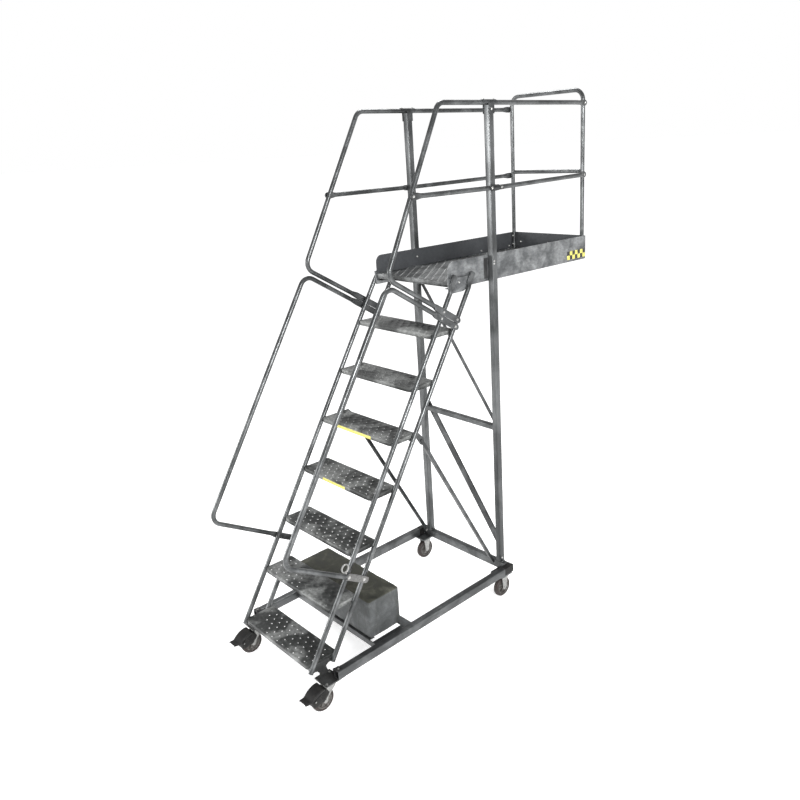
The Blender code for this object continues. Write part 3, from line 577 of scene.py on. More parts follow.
def cell(solid, centre_x, centre_y, z, x_ends, y_ends, button):
    """One lattice cell: its outline has four parts a side so that it meets its neighbours."""
    x_low, x_high = x_ends
    y_low, y_high = y_ends
    across = sorted({clamp(centre_x + 0.5 * step, x_low, x_high) for step in (-2, -1, 0, 1, 2)})
    up = [y_low + (y_high - y_low) * step / 4 for step in range(5)]
    outline = [(x, y_low) for x in across] + [(x_high, y) for y in up[1:]]
    outline += [(x, y_high) for x in reversed(across[:-1])]
    outline += [(x_low, y) for y in reversed(up[1:-1])]
    ring = [solid.verts.new(metres(x, y, z)) for x, y in outline]
    if not button:
        solid.faces.new(ring)
        return
    turns = [math.atan2(y - centre_y, x - centre_x) for x, y in outline]
    for radius, lift in BUTTON:
        after = [solid.verts.new(metres(centre_x + radius * math.cos(turn),
                                        centre_y + radius * math.sin(turn), z + lift))
                 for turn in turns]
        bridge(solid, ring, after)
        ring = after


def button_sheet(half, front, rear, z, skirt, corner=0.0):
    """A sheet pressed with rows of hollow buttons, its edges turned down all round."""
    solid = bmesh.new()
    x_edge = half - EDGE_ROUND
    y_low, y_end = front + EDGE_ROUND, rear - EDGE_ROUND
    row = 0
    while front + FIRST_ROW + BUTTON_ROW * row + BUTTON_SPACE < y_end:
        centre_y = front + FIRST_ROW + BUTTON_ROW * row
        y_high = min(centre_y + BUTTON_ROW / 2, y_end)
        for column in range(LATTICE_COLUMNS):
            centre_x = -LATTICE_HALF + row % 2 + BUTTON_PITCH * column
            x_low, x_high = max(-x_edge, centre_x - 1), min(x_edge, centre_x + 1)
            if x_high - x_low > 0.01:
                cell(solid, centre_x, centre_y, z, (x_low, x_high), (y_low, y_high),
                     abs(centre_x) + BUTTON_SPACE < half)
        y_low = y_high
        row += 1
    if y_end - y_low > 0.01:
        quarters = range(4 * LATTICE_HALF + 1)
        marks = sorted({clamp(-LATTICE_HALF + 0.5 * step, -x_edge, x_edge) for step in quarters})
        for left, right in zip(marks, marks[1:]):
            corners = ((left, y_low), (right, y_low), (right, y_end), (left, y_end))
            solid.faces.new([solid.verts.new(metres(x, y, z)) for x, y in corners])
    bmesh.ops.remove_doubles(solid, verts=solid.verts, dist=0.00005)
    turn_down(solid, x_edge, (front + EDGE_ROUND, y_end), z, skirt)
    if corner:
        round_corners(solid, half, front, corner)
    return solid


def round_corners(solid, half, front, radius):
    """Squeezes the two front corners' squares into quarter circles."""
    inner_x, inner_y = (half - radius) * INCH, metres(0, front + radius, 0).y
    for vert in solid.verts:
        side = math.copysign(1, vert.co.x)
        across, ahead = abs(vert.co.x) - inner_x, inner_y - vert.co.y
        if across > 0 and ahead > 0:
            share = max(across, ahead) / math.hypot(across, ahead)
            vert.co.x = side * (inner_x + across * share)
            vert.co.y = inner_y - ahead * share


def turn_down(solid, x_edge, y_ends, z, skirt):
    """Extrudes the sheet's outer border round an edge and down into a skirt."""
    low, high = metres(-x_edge, y_ends[0], z), metres(x_edge, y_ends[1], z)
    close = 0.00008

    def outward(point):
        return Vector(((point.x > high.x - close) - (point.x < low.x + close),
                       (point.y > high.y - close) - (point.y < low.y + close), 0))

    loop = [edge for edge in solid.edges if len(edge.link_faces) == 1
            and all(outward(vert.co).length > 0 for vert in edge.verts)]
    flat = {vert: (vert.co.copy(), outward(vert.co)) for edge in loop for vert in edge.verts}
    levels = [(EDGE_ROUND * math.sin(turn), EDGE_ROUND * (1 - math.cos(turn)))
              for turn in (math.radians(30), math.radians(60), math.radians(90))]
    levels.append((EDGE_ROUND, skirt))
    for reach, drop in levels:
        grown = {}
        edges = []
        for edge in loop:
            pair = []
            for vert in edge.verts:
                if vert not in grown:
                    base, out = flat[vert]
                    grown[vert] = solid.verts.new(base + (out * reach - Z_AXIS * drop) * INCH)
                pair.append(grown[vert])
            solid.faces.new((edge.verts[0], edge.verts[1], pair[1], pair[0]))
            edges.append(solid.edges.get(pair))
        flat = {grown[vert]: flat[vert] for vert in grown}
        loop = edges


def treads():
    beads = bmesh.new()
    for number in range(1, 8):
        top = number * RISE
        front = stile_y(top) - NOSE
        sheet = button_sheet(TREAD_HALF, front, front + TREAD_DEPTH, top, 0.95, 1.1)
        make(f"tread_{number}", sheet, tread_paint, stands_for=(f"step_{number}",), wall=0.07)
        for side in (-1, 1):
            for rear in (False, True):
                for offset in (-0.42, 0.45):
                    ends = [(side * 12.0, stile_y(z, rear) + offset, z)
                            for z in (top - 0.85, top - 0.08)]
                    weld(beads, *ends, 0.09)
    make("tread_weld_beads", beads, paint)


def stiles():
    for side_name, side in SIDES:
        lean = Vector((-side * 0.32, 0, 0))
        for place, rear in (("front", False), ("rear", True)):
            points = [Vector((side * STILE_X, stile_y(z, rear), z))
                      for z in (STILE_FOOT_Z, 30, 55, STILE_HEAD_Z + 1.3)]
            solid = tube(points, flats=(0.0, 2.2), leans=(None, lean), hollow_foot=True, nose=0.15)
            tube_piece(f"{place}_stile", f"_{side_name}", solid)


# --- Rails ----------------------------------------------------------------------------------


def side_tubes():
    tail_y = POST_Y + 0.4
    upper = rounded_path([(HANDRAIL_X, *GUARD_FOOT), (HANDRAIL_X, *GUARD_KNEE),
                          (UPRIGHT_X, GUARD_HEAD_Y, TOP_RAIL_Z), (UPRIGHT_X, POST_Y - 5, TOP_RAIL_Z)])
    upper += [(RAIL_END_X, POST_Y - 3.4, TOP_RAIL_Z), (RAIL_END_X, tail_y, TOP_RAIL_Z)]
    lower = rounded_path([(HANDRAIL_X, *corner) for corner in LOWER_PATH])
    leg_y = slanted_leg_y(MID_RAIL_Z)
    middle = [(MID_RAIL_X, leg_y - 0.62, MID_RAIL_Z), (MID_RAIL_X, 58.5, MID_RAIL_Z),
              (RAIL_END_X, tail_y, MID_RAIL_Z + 0.6)]
    for side_name, side in SIDES:
        lean = Vector((-side * LEAN, 0, 0))
        for kind, path, flats, front_lean in (("guard_rail", upper, (7.6, 1.5), lean),
                                              ("lower_handrail", lower, (7.2, 5.4), lean),
                                              ("mid_rail", middle, (1.3, 1.5), None)):
            points = [Vector((x * side, y, z)) for x, y, z in path]
            tube_piece(kind, f"_{side_name}", tube(points, flats=flats, leans=(front_lean, lean)))


def rear_tubes():
    guard = rounded_path([(x, POST_Y, z) for x, z in (
        (-POST_X, DECK_Z + GAP), (-POST_X, REAR_GUARD_TOP), (POST_X, REAR_GUARD_TOP),
        (POST_X, DECK_Z + GAP))])
    tube_piece("rear_guard", "", tube(guard, side=Y_AXIS))
    reach = POST_X - TUBE - GAP
    ends = [Vector((x, POST_Y, REAR_MID_RAIL_Z)) for x in (-reach, reach)]
    tube_piece("rear_mid_rail", "", tube(ends, side=Y_AXIS))
    beads = bmesh.new()
    for side in (-1, 1):
        for step in range(14):
            place = Vector((side * (reach + 0.02), POST_Y, REAR_MID_RAIL_Z))
            place += spoke(2 * math.pi * step / 14) * 0.47
            weld(beads, place, place + Z_AXIS * 0.08, 0.08)
    make("rear_rail_weld_beads", beads, paint)


def saddle(solid, centre, along_half, open_way, cover):
    """A strip bent over a tube that runs in Y, with its back along open_way."""
    start = math.atan2(open_way.z, open_way.x)
    inner = TUBE + GAP
    rings = []
    for y_share in (-1.0, -0.92, -0.4, 0.4, 0.92, 1.0):
        reach = math.radians(cover) * (1.0 if abs(y_share) < 0.95 else 0.82) / 2
        turns = [start - reach + reach * step / 9 for step in range(19)]
        ring = [(inner + 0.11, turn) for turn in turns]
        ring += [(inner, turn) for turn in reversed(turns)]
        rings.append([(centre[0] + size * math.cos(turn), centre[1] + y_share * along_half,
                       centre[2] + size * math.sin(turn)) for size, turn in ring])
    loft(solid, rings)


def rail_clamps():
    """Saddles and plates that hold the rails on the uprights, and the bolts of every rail."""
    solid = bmesh.new()
    bolts = bmesh.new()
    upright_face = UPRIGHT_X + UPRIGHT_HALF
    strap_x = MID_RAIL_X + 0.61
    plate_low, plate_high, sheet = 113.0, 115.0, 0.12
    for side in (-1, 1):
        centre_x = side * UPRIGHT_X
        saddle(solid, (centre_x, UPRIGHT_Y, TOP_RAIL_Z), 2.1, Z_AXIS, 215)
        for face in (-1, 1):
            x = centre_x + face * (UPRIGHT_HALF + GAP)
            box(solid, (x, UPRIGHT_Y - 0.85, plate_low),
                (x + face * sheet, UPRIGHT_Y + 0.85, plate_high))
            box(solid, (centre_x + face * 0.5, UPRIGHT_Y - 0.7, plate_high - 0.08),
                (x + face * 0.1, UPRIGHT_Y + 0.7, plate_high + 0.02))
        for y in (-1.55, 1.55):
            bolt(bolts, (centre_x, UPRIGHT_Y + y, TOP_RAIL_Z + 0.62), Z_AXIS, 0.2)
        side_bolts(bolts, side, upright_face + 0.11, ((UPRIGHT_Y, 113.9),), 0.24)
        saddle(solid, (side * MID_RAIL_X, UPRIGHT_Y, MID_RAIL_Z), 1.1, X_AXIS * side, 200)
        for end in (-1, 1):
            y = UPRIGHT_Y + end * 1.5
            box(solid, (side * (strap_x - 0.1), y - end * 0.5, MID_RAIL_Z - 0.5),
                (side * strap_x, y + end * 0.55, MID_RAIL_Z + 0.5))
            side_bolts(bolts, side, strap_x, ((y, MID_RAIL_Z),), 0.24)
        box(solid, (side * upright_face, UPRIGHT_Y - 0.6, MID_RAIL_Z - 0.54 - sheet),
            (side * (MID_RAIL_X + 0.1), UPRIGHT_Y + 0.6, MID_RAIL_Z - 0.54))
    make("rail_clamps", solid, clamp_paint, bevel=0.03)
    flat_face = HANDRAIL_X - LEAN + FLAT_HALF
    tail_y = POST_Y - 0.35
    leg_y = slanted_leg_y(MID_RAIL_Z)
    for side in (-1, 1):
        sleeve = 0.1 if side > 0 else 0.0
        for x, size, places in (
                (RAIL_END_X - LEAN + FLAT_HALF, 0.24,
                 ((tail_y, TOP_RAIL_Z), (tail_y, MID_RAIL_Z + 0.58))),
                (MID_RAIL_X + FLAT_HALF, 0.24, ((leg_y, MID_RAIL_Z),)),
                (flat_face, 0.22, ((40.0, 74.45), (43.85, 72.1), (39.3, 73.2), (43.2, 70.75))),
                (flat_face + sleeve, 0.3, ((9.9, 25.9), (13.5, 23.75))),
                (upright_face, 0.18, ((UPRIGHT_Y - 0.3, 82.8), (UPRIGHT_Y - 0.3, 82.2))),
                (upright_face, 0.24, ((UPRIGHT_Y - 0.2, 9.6),))):
            side_bolts(bolts, side, x, places, size)
    make("rail_bolts", bolts, bright_zinc)


# --- Platform -------------------------------------------------------------------------------


def platform():
    deck = button_sheet(DECK_HALF, DECK_FRONT, DECK_REAR, DECK_Z, 1.1)
    make("platform_deck_sheet", deck, deck_paint, stands_for=("platform_deck",), wall=0.07)
    strip = bmesh.new()
    box(strip, (BOARD_X + 0.005, 54.4, 79.0), (BOARD_X + 0.05, 55.6, 83.5))
    make("toe_board_strip", strip, black_steel, bevel=0.02)
    bolts = bmesh.new()
    side_bolts(bolts, 1, -BOARD_X + 0.11, ((56.1, 82.2), (79.0, 80.6), (90.0, 80.6)), 0.22)
    for side in (-1, 1):
        side_bolts(bolts, side, 11.988, ((46.2, 79.6), (49.4, 79.6)), 0.2)
        for z in (81.0, 83.2):
            bolt(bolts, (side * (POST_X - 0.08), POST_Y - 0.5, z), -Y_AXIS, 0.2)
    for x in (-9.2, 0.0, 9.2):
        bolt(bolts, (x, BOARD_REAR - 0.11, 81.6), -Y_AXIS, 0.22)
    make("platform_bolts", bolts, bright_zinc)
    flange = bmesh.new()
    for side in (-1, 1):
        box(flange, (side * (POST_X - 0.85), POST_Y - 0.8, DECK_Z + 0.1),
            (side * (POST_X + 0.5), POST_Y + 0.5, DECK_Z + 0.19))
    box(flange, (-10.2, 90.7, DECK_Z + 0.09), (-3.6, 91.5, DECK_Z + 0.2))
    make("post_foot_flanges", flange, paint, bevel=0.02)


def checker_tape():
    """Yellow and black squares on the right toe board's rear end."""
    columns, rows = 7, 2
    low_y, low_z = 84.7, 78.95
    long, high = 7.4 / columns, 2.0 / rows
    for name, look, odd in (("yellow", yellow_tape, 0), ("black", black_tape, 1)):
        solid = bmesh.new()
        for column in range(columns):
            for row in range(rows):
                if (column + row) % 2 == odd:
                    y, z = low_y + long * column, low_z + high * row
                    box(solid, (BOARD_X + 0.004, y, z), (BOARD_X + 0.016, y + long, z + high))
        make(f"checker_tape_{name}", solid, look)


def lip_tapes():
    """Worn yellow strips on the front lips of two treads."""
    count, gap, thick = 40, 0.004, 0.016
    for number, left, right in ((5, -6.5, 5.5), (4, -4.4, 3.4)):
        top = number * RISE
        face = stile_y(top) - NOSE
        rings = []
        for step in range(count + 1):
            x = left + (right - left) * step / count
            ragged = 0.05 * noise.noise(Vector((x * 1.7, number, 0)))
            low, high = top - 0.94, top - 0.24 + ragged
            rings.append([(x, face - gap, low), (x, face - thick, low), (x, face - thick, high),
                          (x, face - gap, high)])
        make(f"lip_tape_{number}", lofted(rings), yellow_tape)


# --- Base and uprights ----------------------------------------------------------------------


def base_bars():
    middle_z = RAIL_LOW_Z + RAIL_HEIGHT / 2
    rail_size = (0.75, RAIL_HEIGHT / 2, 0.16)
    for side_name, side in SIDES:
        ends = [(side * RAIL_X, y, middle_z) for y in (RAIL_FRONT, CAP_FRONT - 0.01)]
        tube_piece("side_rail", f"_{side_name}", bar(*ends, *rail_size), paint_long, 0.02)
    ends = [(x, 56.45, middle_z) for x in (-CROSS_RAIL_HALF, CROSS_RAIL_HALF)]
    tube_piece("rear_cross_rail", "", bar(*ends, *rail_size))
    for side_name, side in SIDES:
        ends = [(side * UPRIGHT_X, UPRIGHT_Y, z) for z in (UPRIGHT_FOOT_Z, UPRIGHT_HEAD_Z)]
        solid = bar(*ends, UPRIGHT_HALF, UPRIGHT_HALF, 0.17, hollow=False)
        tube_piece("upright", f"_{side_name}", solid, paint_vertical)
    reach = UPRIGHT_X - UPRIGHT_HALF - GAP
    ends = [(x, UPRIGHT_Y, CROSSBAR_Z) for x in (-reach, reach)]
    tube_piece("mid_crossbar", "", bar(*ends, CROSSBAR_HALF, CROSSBAR_HALF, 0.14))


def rail_end_caps():
    caps = bmesh.new()
    for side in (-1, 1):
        box(caps, (side * 15.995, CAP_FRONT, 6.525), (side * 14.505, 57.2, 8.445))
        box(caps, (side * 15.9, CAP_FRONT - 0.56, 6.62), (side * 14.6, CAP_FRONT + 0.04, 8.35))
    make("rail_end_caps", caps, plastic, bevel=0.1)


def base_welds():
    """Beads at the uprights' feet, the crossbar's ends and the ballast frame's corners."""
    beads = bmesh.new()
    reach = UPRIGHT_HALF + 0.01
    foot_z = 8.5
    for side in (-1, 1):
        centre_x = side * UPRIGHT_X
        for edge in (centre_x - reach, centre_x + reach):
            weld(beads, (edge, UPRIGHT_Y - 0.7, foot_z), (edge, UPRIGHT_Y + 0.7, foot_z), 0.12)
        weld(beads, (centre_x - 0.7, UPRIGHT_Y - reach, foot_z),
             (centre_x + 0.7, UPRIGHT_Y - reach, foot_z), 0.12)
        for z in (CROSSBAR_Z - 0.63, CROSSBAR_Z + 0.63):
            x = side * (UPRIGHT_X - 0.77)
            weld(beads, (x, UPRIGHT_Y - 0.6, z), (x, UPRIGHT_Y + 0.6, z), 0.09)
        for x, start, end, radius in (
                (14.47, (55.72, 6.7), (55.72, 8.3), 0.1), (14.44, (14.25, 7.1), (14.25, 8.2), 0.1),
                (14.45, (14.4, 8.22), (24.4, 8.22), 0.08)):
            weld(beads, (side * x, *start), (side * x, *end), radius)
    make("base_weld_beads", beads, paint)


def braces():
    """Angle bars with one leg ground away and pressed flat at both bolted ends."""
    x, y = STILE_X - TUBE - GAP, UPRIGHT_Y + UPRIGHT_HALF + GAP
    runs = [("rear_brace_upper", (-12.2, y, 76.45), (12.2, y, 43.2), 0.9, -Y_AXIS),
            ("rear_brace_lower", (-12.0, y, 45.3), (12.2, y, 11.7), 1.75, -Y_AXIS)]
    runs += [(f"side_brace_{side_name}", (side * x, 32.9, 48.0), (side * x, 54.6, 8.6), 0.72,
              X_AXIS * side) for side_name, side in SIDES]
    thick, flat_end, fade, bolt_place = 0.14, 1.6, 1.0, 0.7
    marks = (0.0, 0.12, 0.35, flat_end, flat_end + fade)
    bolts = bmesh.new()
    for name, start, end, width, out in runs:
        start, end = Vector(start), Vector(end)
        along = (end - start).normalized()
        across = out.cross(along).normalized()
        length = (end - start).length
        rings = []
        for distance in (*marks, *(length - mark for mark in reversed(marks))):
            away = min(distance, length - distance)
            leg = thick + 0.02 + (width - thick) * smooth((away - flat_end) / fade)
            half = width / 2 * (0.55 if away < 0.05 else 0.82 if away < 0.2 else 1.0)
            shape = ((-half, 0), (half, 0), (half, -thick), (thick - half, -thick),
                     (thick - half, -leg), (-half, -leg))
            rings.append([tuple(start + along * distance + across * u + out * v)
                          for u, v in shape])
        make(f"{name}_angle", lofted(rings), clamp_paint, stands_for=(name,), bevel=0.025)
        for distance in (bolt_place, length - bolt_place):
            bolt(bolts, start + along * distance - out * thick, -out, 0.26)
    make("brace_bolts", bolts, zinc)
    tabs = bmesh.new()
    for side in (-1, 1):
        extrude(tabs, ((29.6, 49.9), (31.9, 50.1), (33.9, 47.9), (33.5, 46.5), (32.6, 46.9),
                       (31.6, 48.6), (29.4, 48.6)), *sorted((side * (x - 0.16), side * (x - 0.28))))
    make("side_brace_tabs", tabs, paint, bevel=0.04)


def counterweight():
    """A cast block with rounded edges and an uneven surface, which tapers a little upwards."""
    low, high = Vector((-12.58, 14.62, 8.27)), Vector((12.58, 23.08, 17.28))
    radius, unevenness = 0.4, 0.055
    centre, half = (low + high) / 2, (high - low) / 2
    solid = bmesh.new()
    bmesh.ops.create_cube(solid, size=2)
    bmesh.ops.subdivide_edges(solid, edges=solid.edges, cuts=34, use_grid_fill=True)
    for vert in solid.verts:
        point = vert.co * half
        core = Vector([clamp(point[k], radius - half[k], half[k] - radius) for k in range(3)])
        out = (point - core).normalized()
        if out.length > 0:
            point = core + out * radius
        point += out * (noise.fractal(point * 0.35, 0.8, 2.0, 4) - 0.6) * unevenness
        share = (point.z + half.z) / (2 * half.z)
        point *= Vector((1 + 0.0095 * share, 1 - 0.006 * share, 1))
        vert.co = metres(*(centre + point))
    make("counterweight_block", solid, cast_block, stands_for=("counterweight",), angle=60)


def front_corner_details():
    """Bolts, the rail's end clip, and the first tread's end plates above the brackets."""
    bolts = bmesh.new()
    clips = bmesh.new()
    plates = bmesh.new()
    for side in (-1, 1):
        for x, y, z, way, size in (
                (12.3, 3.6, 6.508, 1, 0.24), (15.1, 0.95, 6.508, 1, 0.24),
                (12.15, 0.9, 6.12, -1, 0.22), (12.15, 3.9, 6.12, -1, 0.22),
                (15.15, 0.9, 6.12, -1, 0.22), (15.15, 3.9, 6.12, -1, 0.22),
                (15.2, 3.95, 8.53, 1, 0.22)):
            bolt(bolts, (side * x, y, z), Z_AXIS * way, size)
        for near, far in (((14.38, 3.32, 6.53), (14.49, 5.6, 8.3)),
                          ((14.4, 3.32, 8.455), (15.92, 4.5, 8.53)),
                          ((13.0, 4.0, 6.3), (14.2, 4.5, 7.35))):
            box(clips, (side * near[0], *near[1:]), (side * far[0], *far[1:]))
        extrude(plates, ((-0.75, 9.12), (-0.5, 8.4), (5.2, 8.4), (5.75, 9.12)),
                *sorted((side * 11.8, side * 11.96)))
    make("front_corner_clips", clips, black_steel, bevel=0.04)
    make("front_corner_bolts", bolts, zinc)
    make("first_tread_end_plates", plates, tread_paint, bevel=0.02)


def zinc_sleeve():
    """The bright pressed sleeve over the right handrail's foot, with dark pads at the stiles that
    paint the shadow marks there.
    """
    heel, foot = (Vector((HANDRAIL_X - LEAN, *corner)) for corner in LOWER_PATH[2:])
    along = (foot - heel).normalized()
    across = X_AXIS.cross(along)
    crown = [(-1, 0.2), (-0.94, 0.25), (-0.6, 0.265), (0, 0.27), (0.6, 0.265), (0.94, 0.25),
             (1, 0.2), (1, 0.1), (-1, 0.1)]
    rings = []
    for away, wide in ((0.0, 0.2), (0.06, 0.42), (0.2, 0.58), (0.4, 0.67), (0.68, 0.71),
                       (5.38, 0.71), (5.88, 0.69), (6.08, 0.63)):
        rings.append([tuple(foot - along * away + across * (u * wide) + X_AXIS * v)
                      for u, v in crown])
    make("handrail_foot_sleeve", lofted(rings), sleeve_zinc)
    # Dark pads where the handrail's foot passes the stiles: painted shadow marks.
    shadow_pads = bmesh.new()
    half_shadow_pad = Vector((0, RUN, RISE)).normalized() * 0.85
    for rear, lift in ((False, 4.6), (True, 1.0)):
        z = LOWER_PATH[3][1] + lift
        for side in (-1, 1):
            centre = Vector((side * (STILE_X + 0.42), stile_y(z, rear), z))
            rod(shadow_pads, centre - half_shadow_pad, centre + half_shadow_pad, 0.16, 12, 0.04)
    make("handrail_foot_painted_shadows", shadow_pads, plastic)


# --- Casters --------------------------------------------------------------------------------


def wheel(name, x, y, body):
    centre = Vector((x, y, WHEEL_R))
    half = WHEEL_HALF
    shoulder = [(half - 0.02, 1.8), (half, 1.86), (half, 2.14), (half - 0.04, 2.28),
                (half - 0.14, 2.4), (half - 0.26, 2.465), (half - 0.42, 2.495)]
    profile = shoulder + [(0.0, WHEEL_R)] + [(-a, r) for a, r in reversed(shoulder)]
    tyre = bmesh.new()
    turned(tyre, centre, profile, X_AXIS, 72)
    make(f"{name}_tyre_round", tyre, tyre_rubber, body, (f"{name}_tyre",))
    face = [(half + 0.08, 0.214), (half + 0.09, 0.42), (half + 0.04, 0.52), (0.34, 0.6),
            (0.24, 0.72), (0.24, 1.34), (0.36, 1.5), (half - 0.03, 1.56), (half + 0.02, 1.62),
            (half + 0.02, 1.76), (half - 0.04, 1.788)]
    face += [(-a, r) for a, r in reversed(face)]
    hub = bmesh.new()
    turned(hub, centre, face, X_AXIS, 60)
    for step in range(6):
        out = spoke(2 * math.pi * step / 6)
        across = X_AXIS.cross(out)
        for side in (-1, 1):
            rings = []
            for reach, width, high in ((0.5, 0.16, 0.22), (1.56, 0.11, 0.2)):
                place = centre + X_AXIS * (side * 0.3) + out * reach
                rings.append([tuple(place + across * (u * width) + X_AXIS * (side * v))
                              for u, v in ((-1, -0.1), (1, -0.1), (0.7, high), (-0.7, high))])
            loft(hub, rings)
    make(f"{name}_hub_spoked", hub, hub_metal, body, (f"{name}_hub",))


def fork(name, x, body, crown_z, crown, foot_centre, foot_half):
    """A bent sheet from one foot up over the crown and down to the other foot."""
    half_inner, bend = 0.87, 0.32
    axle_top = 2.5
    half_rows = []
    for z in (1.96, 2.0, 2.1, 2.28, axle_top, 3.1, 3.9, 4.7, crown_z - 0.4):
        cut = max(0.0, axle_top - z) / 0.545
        size = foot_half * math.sqrt(max(0.01, 1 - cut * cut))
        share = smooth((z - axle_top) / (crown_z - axle_top))
        ends = [foot + (top - foot) * share
                for foot, top in zip((foot_centre - size, foot_centre + size), crown)]
        half_rows.append((half_inner, z, *ends))
    for step in range(1, 5):
        turn = math.radians(90 * step / 4)
        half_rows.append((half_inner - bend * (1 - math.cos(turn)),
                          crown_z - bend + bend * math.sin(turn), *crown))
    rows = [(-across, *row) for across, *row in half_rows] + list(reversed(half_rows))
    solid = lofted([[(x + across, low + (high - low) * step / 6, z) for step in range(7)]
                    for across, z, low, high in rows], open_sheet=True)
    make(f"{name}_fork_bent", solid, zinc, body, (f"{name}_fork",), wall=0.12, turn_out=False)


def axle(solid, x, y):
    """The axle with a washer and a nut at each end."""
    rod(solid, (x - 1.0, y, WHEEL_R), (x + 1.0, y, WHEEL_R), 0.19, 24)
    for side in (-1, 1):
        face, out = Vector((x + side * 0.872, y, WHEEL_R)), X_AXIS * side
        rod(solid, face, face + out * 0.05, 0.42, 28, 0.015)
        rod(solid, face + out * 0.05, face + out * 0.19, 0.34, 6, 0.04)
        rod(solid, face + out * 0.18, face + out * 0.25, 0.17, 18, 0.03)


def caster_plate(solid, x, y, low, high):
    loft(solid, [[(x + u, y + v, z) for u, v in section(2.0, 2.0, 0.4, 5)] for z in (low, high)])


def front_caster(side_name, x):
    name = f"front_{side_name}"
    swivel, y, pin_y = f"{name}_swivel", FRONT_Y, FRONT_Y + LEAD
    plate = bmesh.new()
    caster_plate(plate, x, pin_y, PLATE_TOP_Z - 0.12, PLATE_TOP_Z)
    race = [(6.13, 0.3), (6.13, 1.32), (6.08, 1.38), (5.98, 1.38), (5.93, 1.32), (5.9, 1.22),
            (5.86, 1.22), (5.83, 1.28), (5.74, 1.28), (5.7, 1.2), (5.7, 0.3)]
    turned(plate, (x, pin_y, 0), race, Z_AXIS, 48)
    make(f"{name}_plate_round", plate, zinc, "frame", (f"{name}_caster_plate",), bevel=0.02)
    fork(name, x, swivel, 5.62, (pin_y - 1.2, pin_y + 1.15), y + 0.12, 0.5)
    pin = bmesh.new()
    axle(pin, x, y)
    bolt(pin, (x, pin_y, 5.5), -Z_AXIS, 0.4)
    make(f"{name}_axle", pin, zinc, swivel)
    wheel(name, x, y, f"{name}_wheel")
    cover(name, x, y, swivel)
    pedal(name, x, y, f"{name}_pedal")


def cover(name, x, y, body):
    """The black guard: two cheeks and a curved web round the wheel, with ribs and a rivet."""
    centre = Vector((x, y, WHEEL_R))
    half, radius, steps = 1.165, 2.81, 18
    first_turn, sweep = 58, 122
    rings = []
    for step in range(steps + 1):
        out = spoke(math.radians(first_turn + sweep * step / steps))
        front = smooth((4 - step) / 4)
        depth = 2.46 - 1.3 * smooth((step - 14) / 4) - 1.5 * front
        top = radius - 0.75 * front
        profile = [(half, top - depth), (half + 0.005, top - depth * 0.5), (half, top - 0.2),
                   (half - 0.06, top - 0.06), (half - 0.2, top)]
        profile += [(-u, r) for u, r in reversed(profile)]
        rings.append([tuple(centre + X_AXIS * u + out * r) for u, r in profile])
    make(f"{name}_brake_cover", lofted(rings, open_sheet=True), plastic, body,
         (f"{name}_brake_housing",), wall=0.09, turn_out=False)
    ribs = bmesh.new()
    rivets = bmesh.new()
    for side in (-1, 1):
        lift = X_AXIS * side
        face = centre + lift * (half - 0.005)
        for angle, low, high in ((84, 0.9, 2.5), (95, 0.85, 2.6), (106, 0.8, 2.62),
                                 (117, 0.8, 2.62), (128, 0.85, 2.6)):
            out = spoke(math.radians(angle))
            across = X_AXIS.cross(out) * 0.07
            rings = []
            for reach, rise in ((low, 0.01), (low + 0.12, 0.06), (high - 0.12, 0.06), (high, 0.01)):
                rings.append([tuple(face + out * reach + across * u + lift * v) for u, v in
                              ((-1.3, -0.02), (-0.8, rise), (0.8, rise), (1.3, -0.02))])
            loft(ribs, rings)
        place = Vector((x + side * half, y - 2.3, 3.72))
        rod(rivets, place, place + lift * 0.09, 0.17, 20, 0.05)
    make(f"{name}_cover_ribs", ribs, plastic, body)
    make(f"{name}_cover_rivets", rivets, zinc, body)


def pedal(name, x, y, body):
    """The brake lever over the cover: crowned plate, turned-down sides, flared ribbed tip."""
    knots = ((-0.15, 5.8, 1.3), (-0.7, 5.77, 1.38), (-1.4, 5.6, 1.4), (-1.9, 5.41, 1.4),
             (-2.4, 5.15, 1.38), (-2.8, 4.88, 1.34), (-3.2, 4.57, 1.29), (-3.4, 4.42, 1.25),
             (-3.6, 4.33, 1.22), (-3.9, 4.31, 1.2), (-4.3, 4.35, 1.16), (-4.6, 4.39, 1.1),
             (-4.74, 4.4, 0.98))
    rings = []
    for offset, z, half in knots:
        skirt = 0.42 if offset > -3.3 else 0.3 if offset > -3.5 else 0.12
        crown = 0.03 if offset > -3.5 else 0.0
        edge = ((half, skirt), (half, 0.12), (half - 0.05, 0.04), (half - 0.14, crown),
                (half * 0.4, 0))
        rings.append([(x - u, y + offset, z - drop) for u, drop in edge]
                     + [(x + u, y + offset, z - drop) for u, drop in reversed(edge)])
    make(f"{name}_pedal_lever", lofted(rings, open_sheet=True), plastic, body,
         (f"{name}_brake_pedal",), wall=0.09, turn_out=False)
    details = bmesh.new()
    for offset in (-3.72, -3.92, -4.12, -4.32, -4.52):
        z = 4.32 + 0.09 * smooth((-offset - 3.7) / 0.9)
        rod(details, (x - 0.95, y + offset, z), (x + 0.95, y + offset, z), 0.055, 10, 0.02)
    slope = Vector((0, -0.5, -0.26)).normalized()
    normal = slope.cross(X_AXIS)
    centre = Vector((x, y - 2.12, 5.3))
    outer = section(0.62, 0.36, 0.16)
    inner = section(0.5, 0.24, 0.1)
    loft(details, [[tuple(centre + X_AXIS * u + slope * v + normal * lift) for u, v in shape]
                   for shape, lift in ((outer, 0.0), (outer, 0.1), (inner, 0.1), (inner, 0.02))])
    make(f"{name}_pedal_details", details, plastic, body)


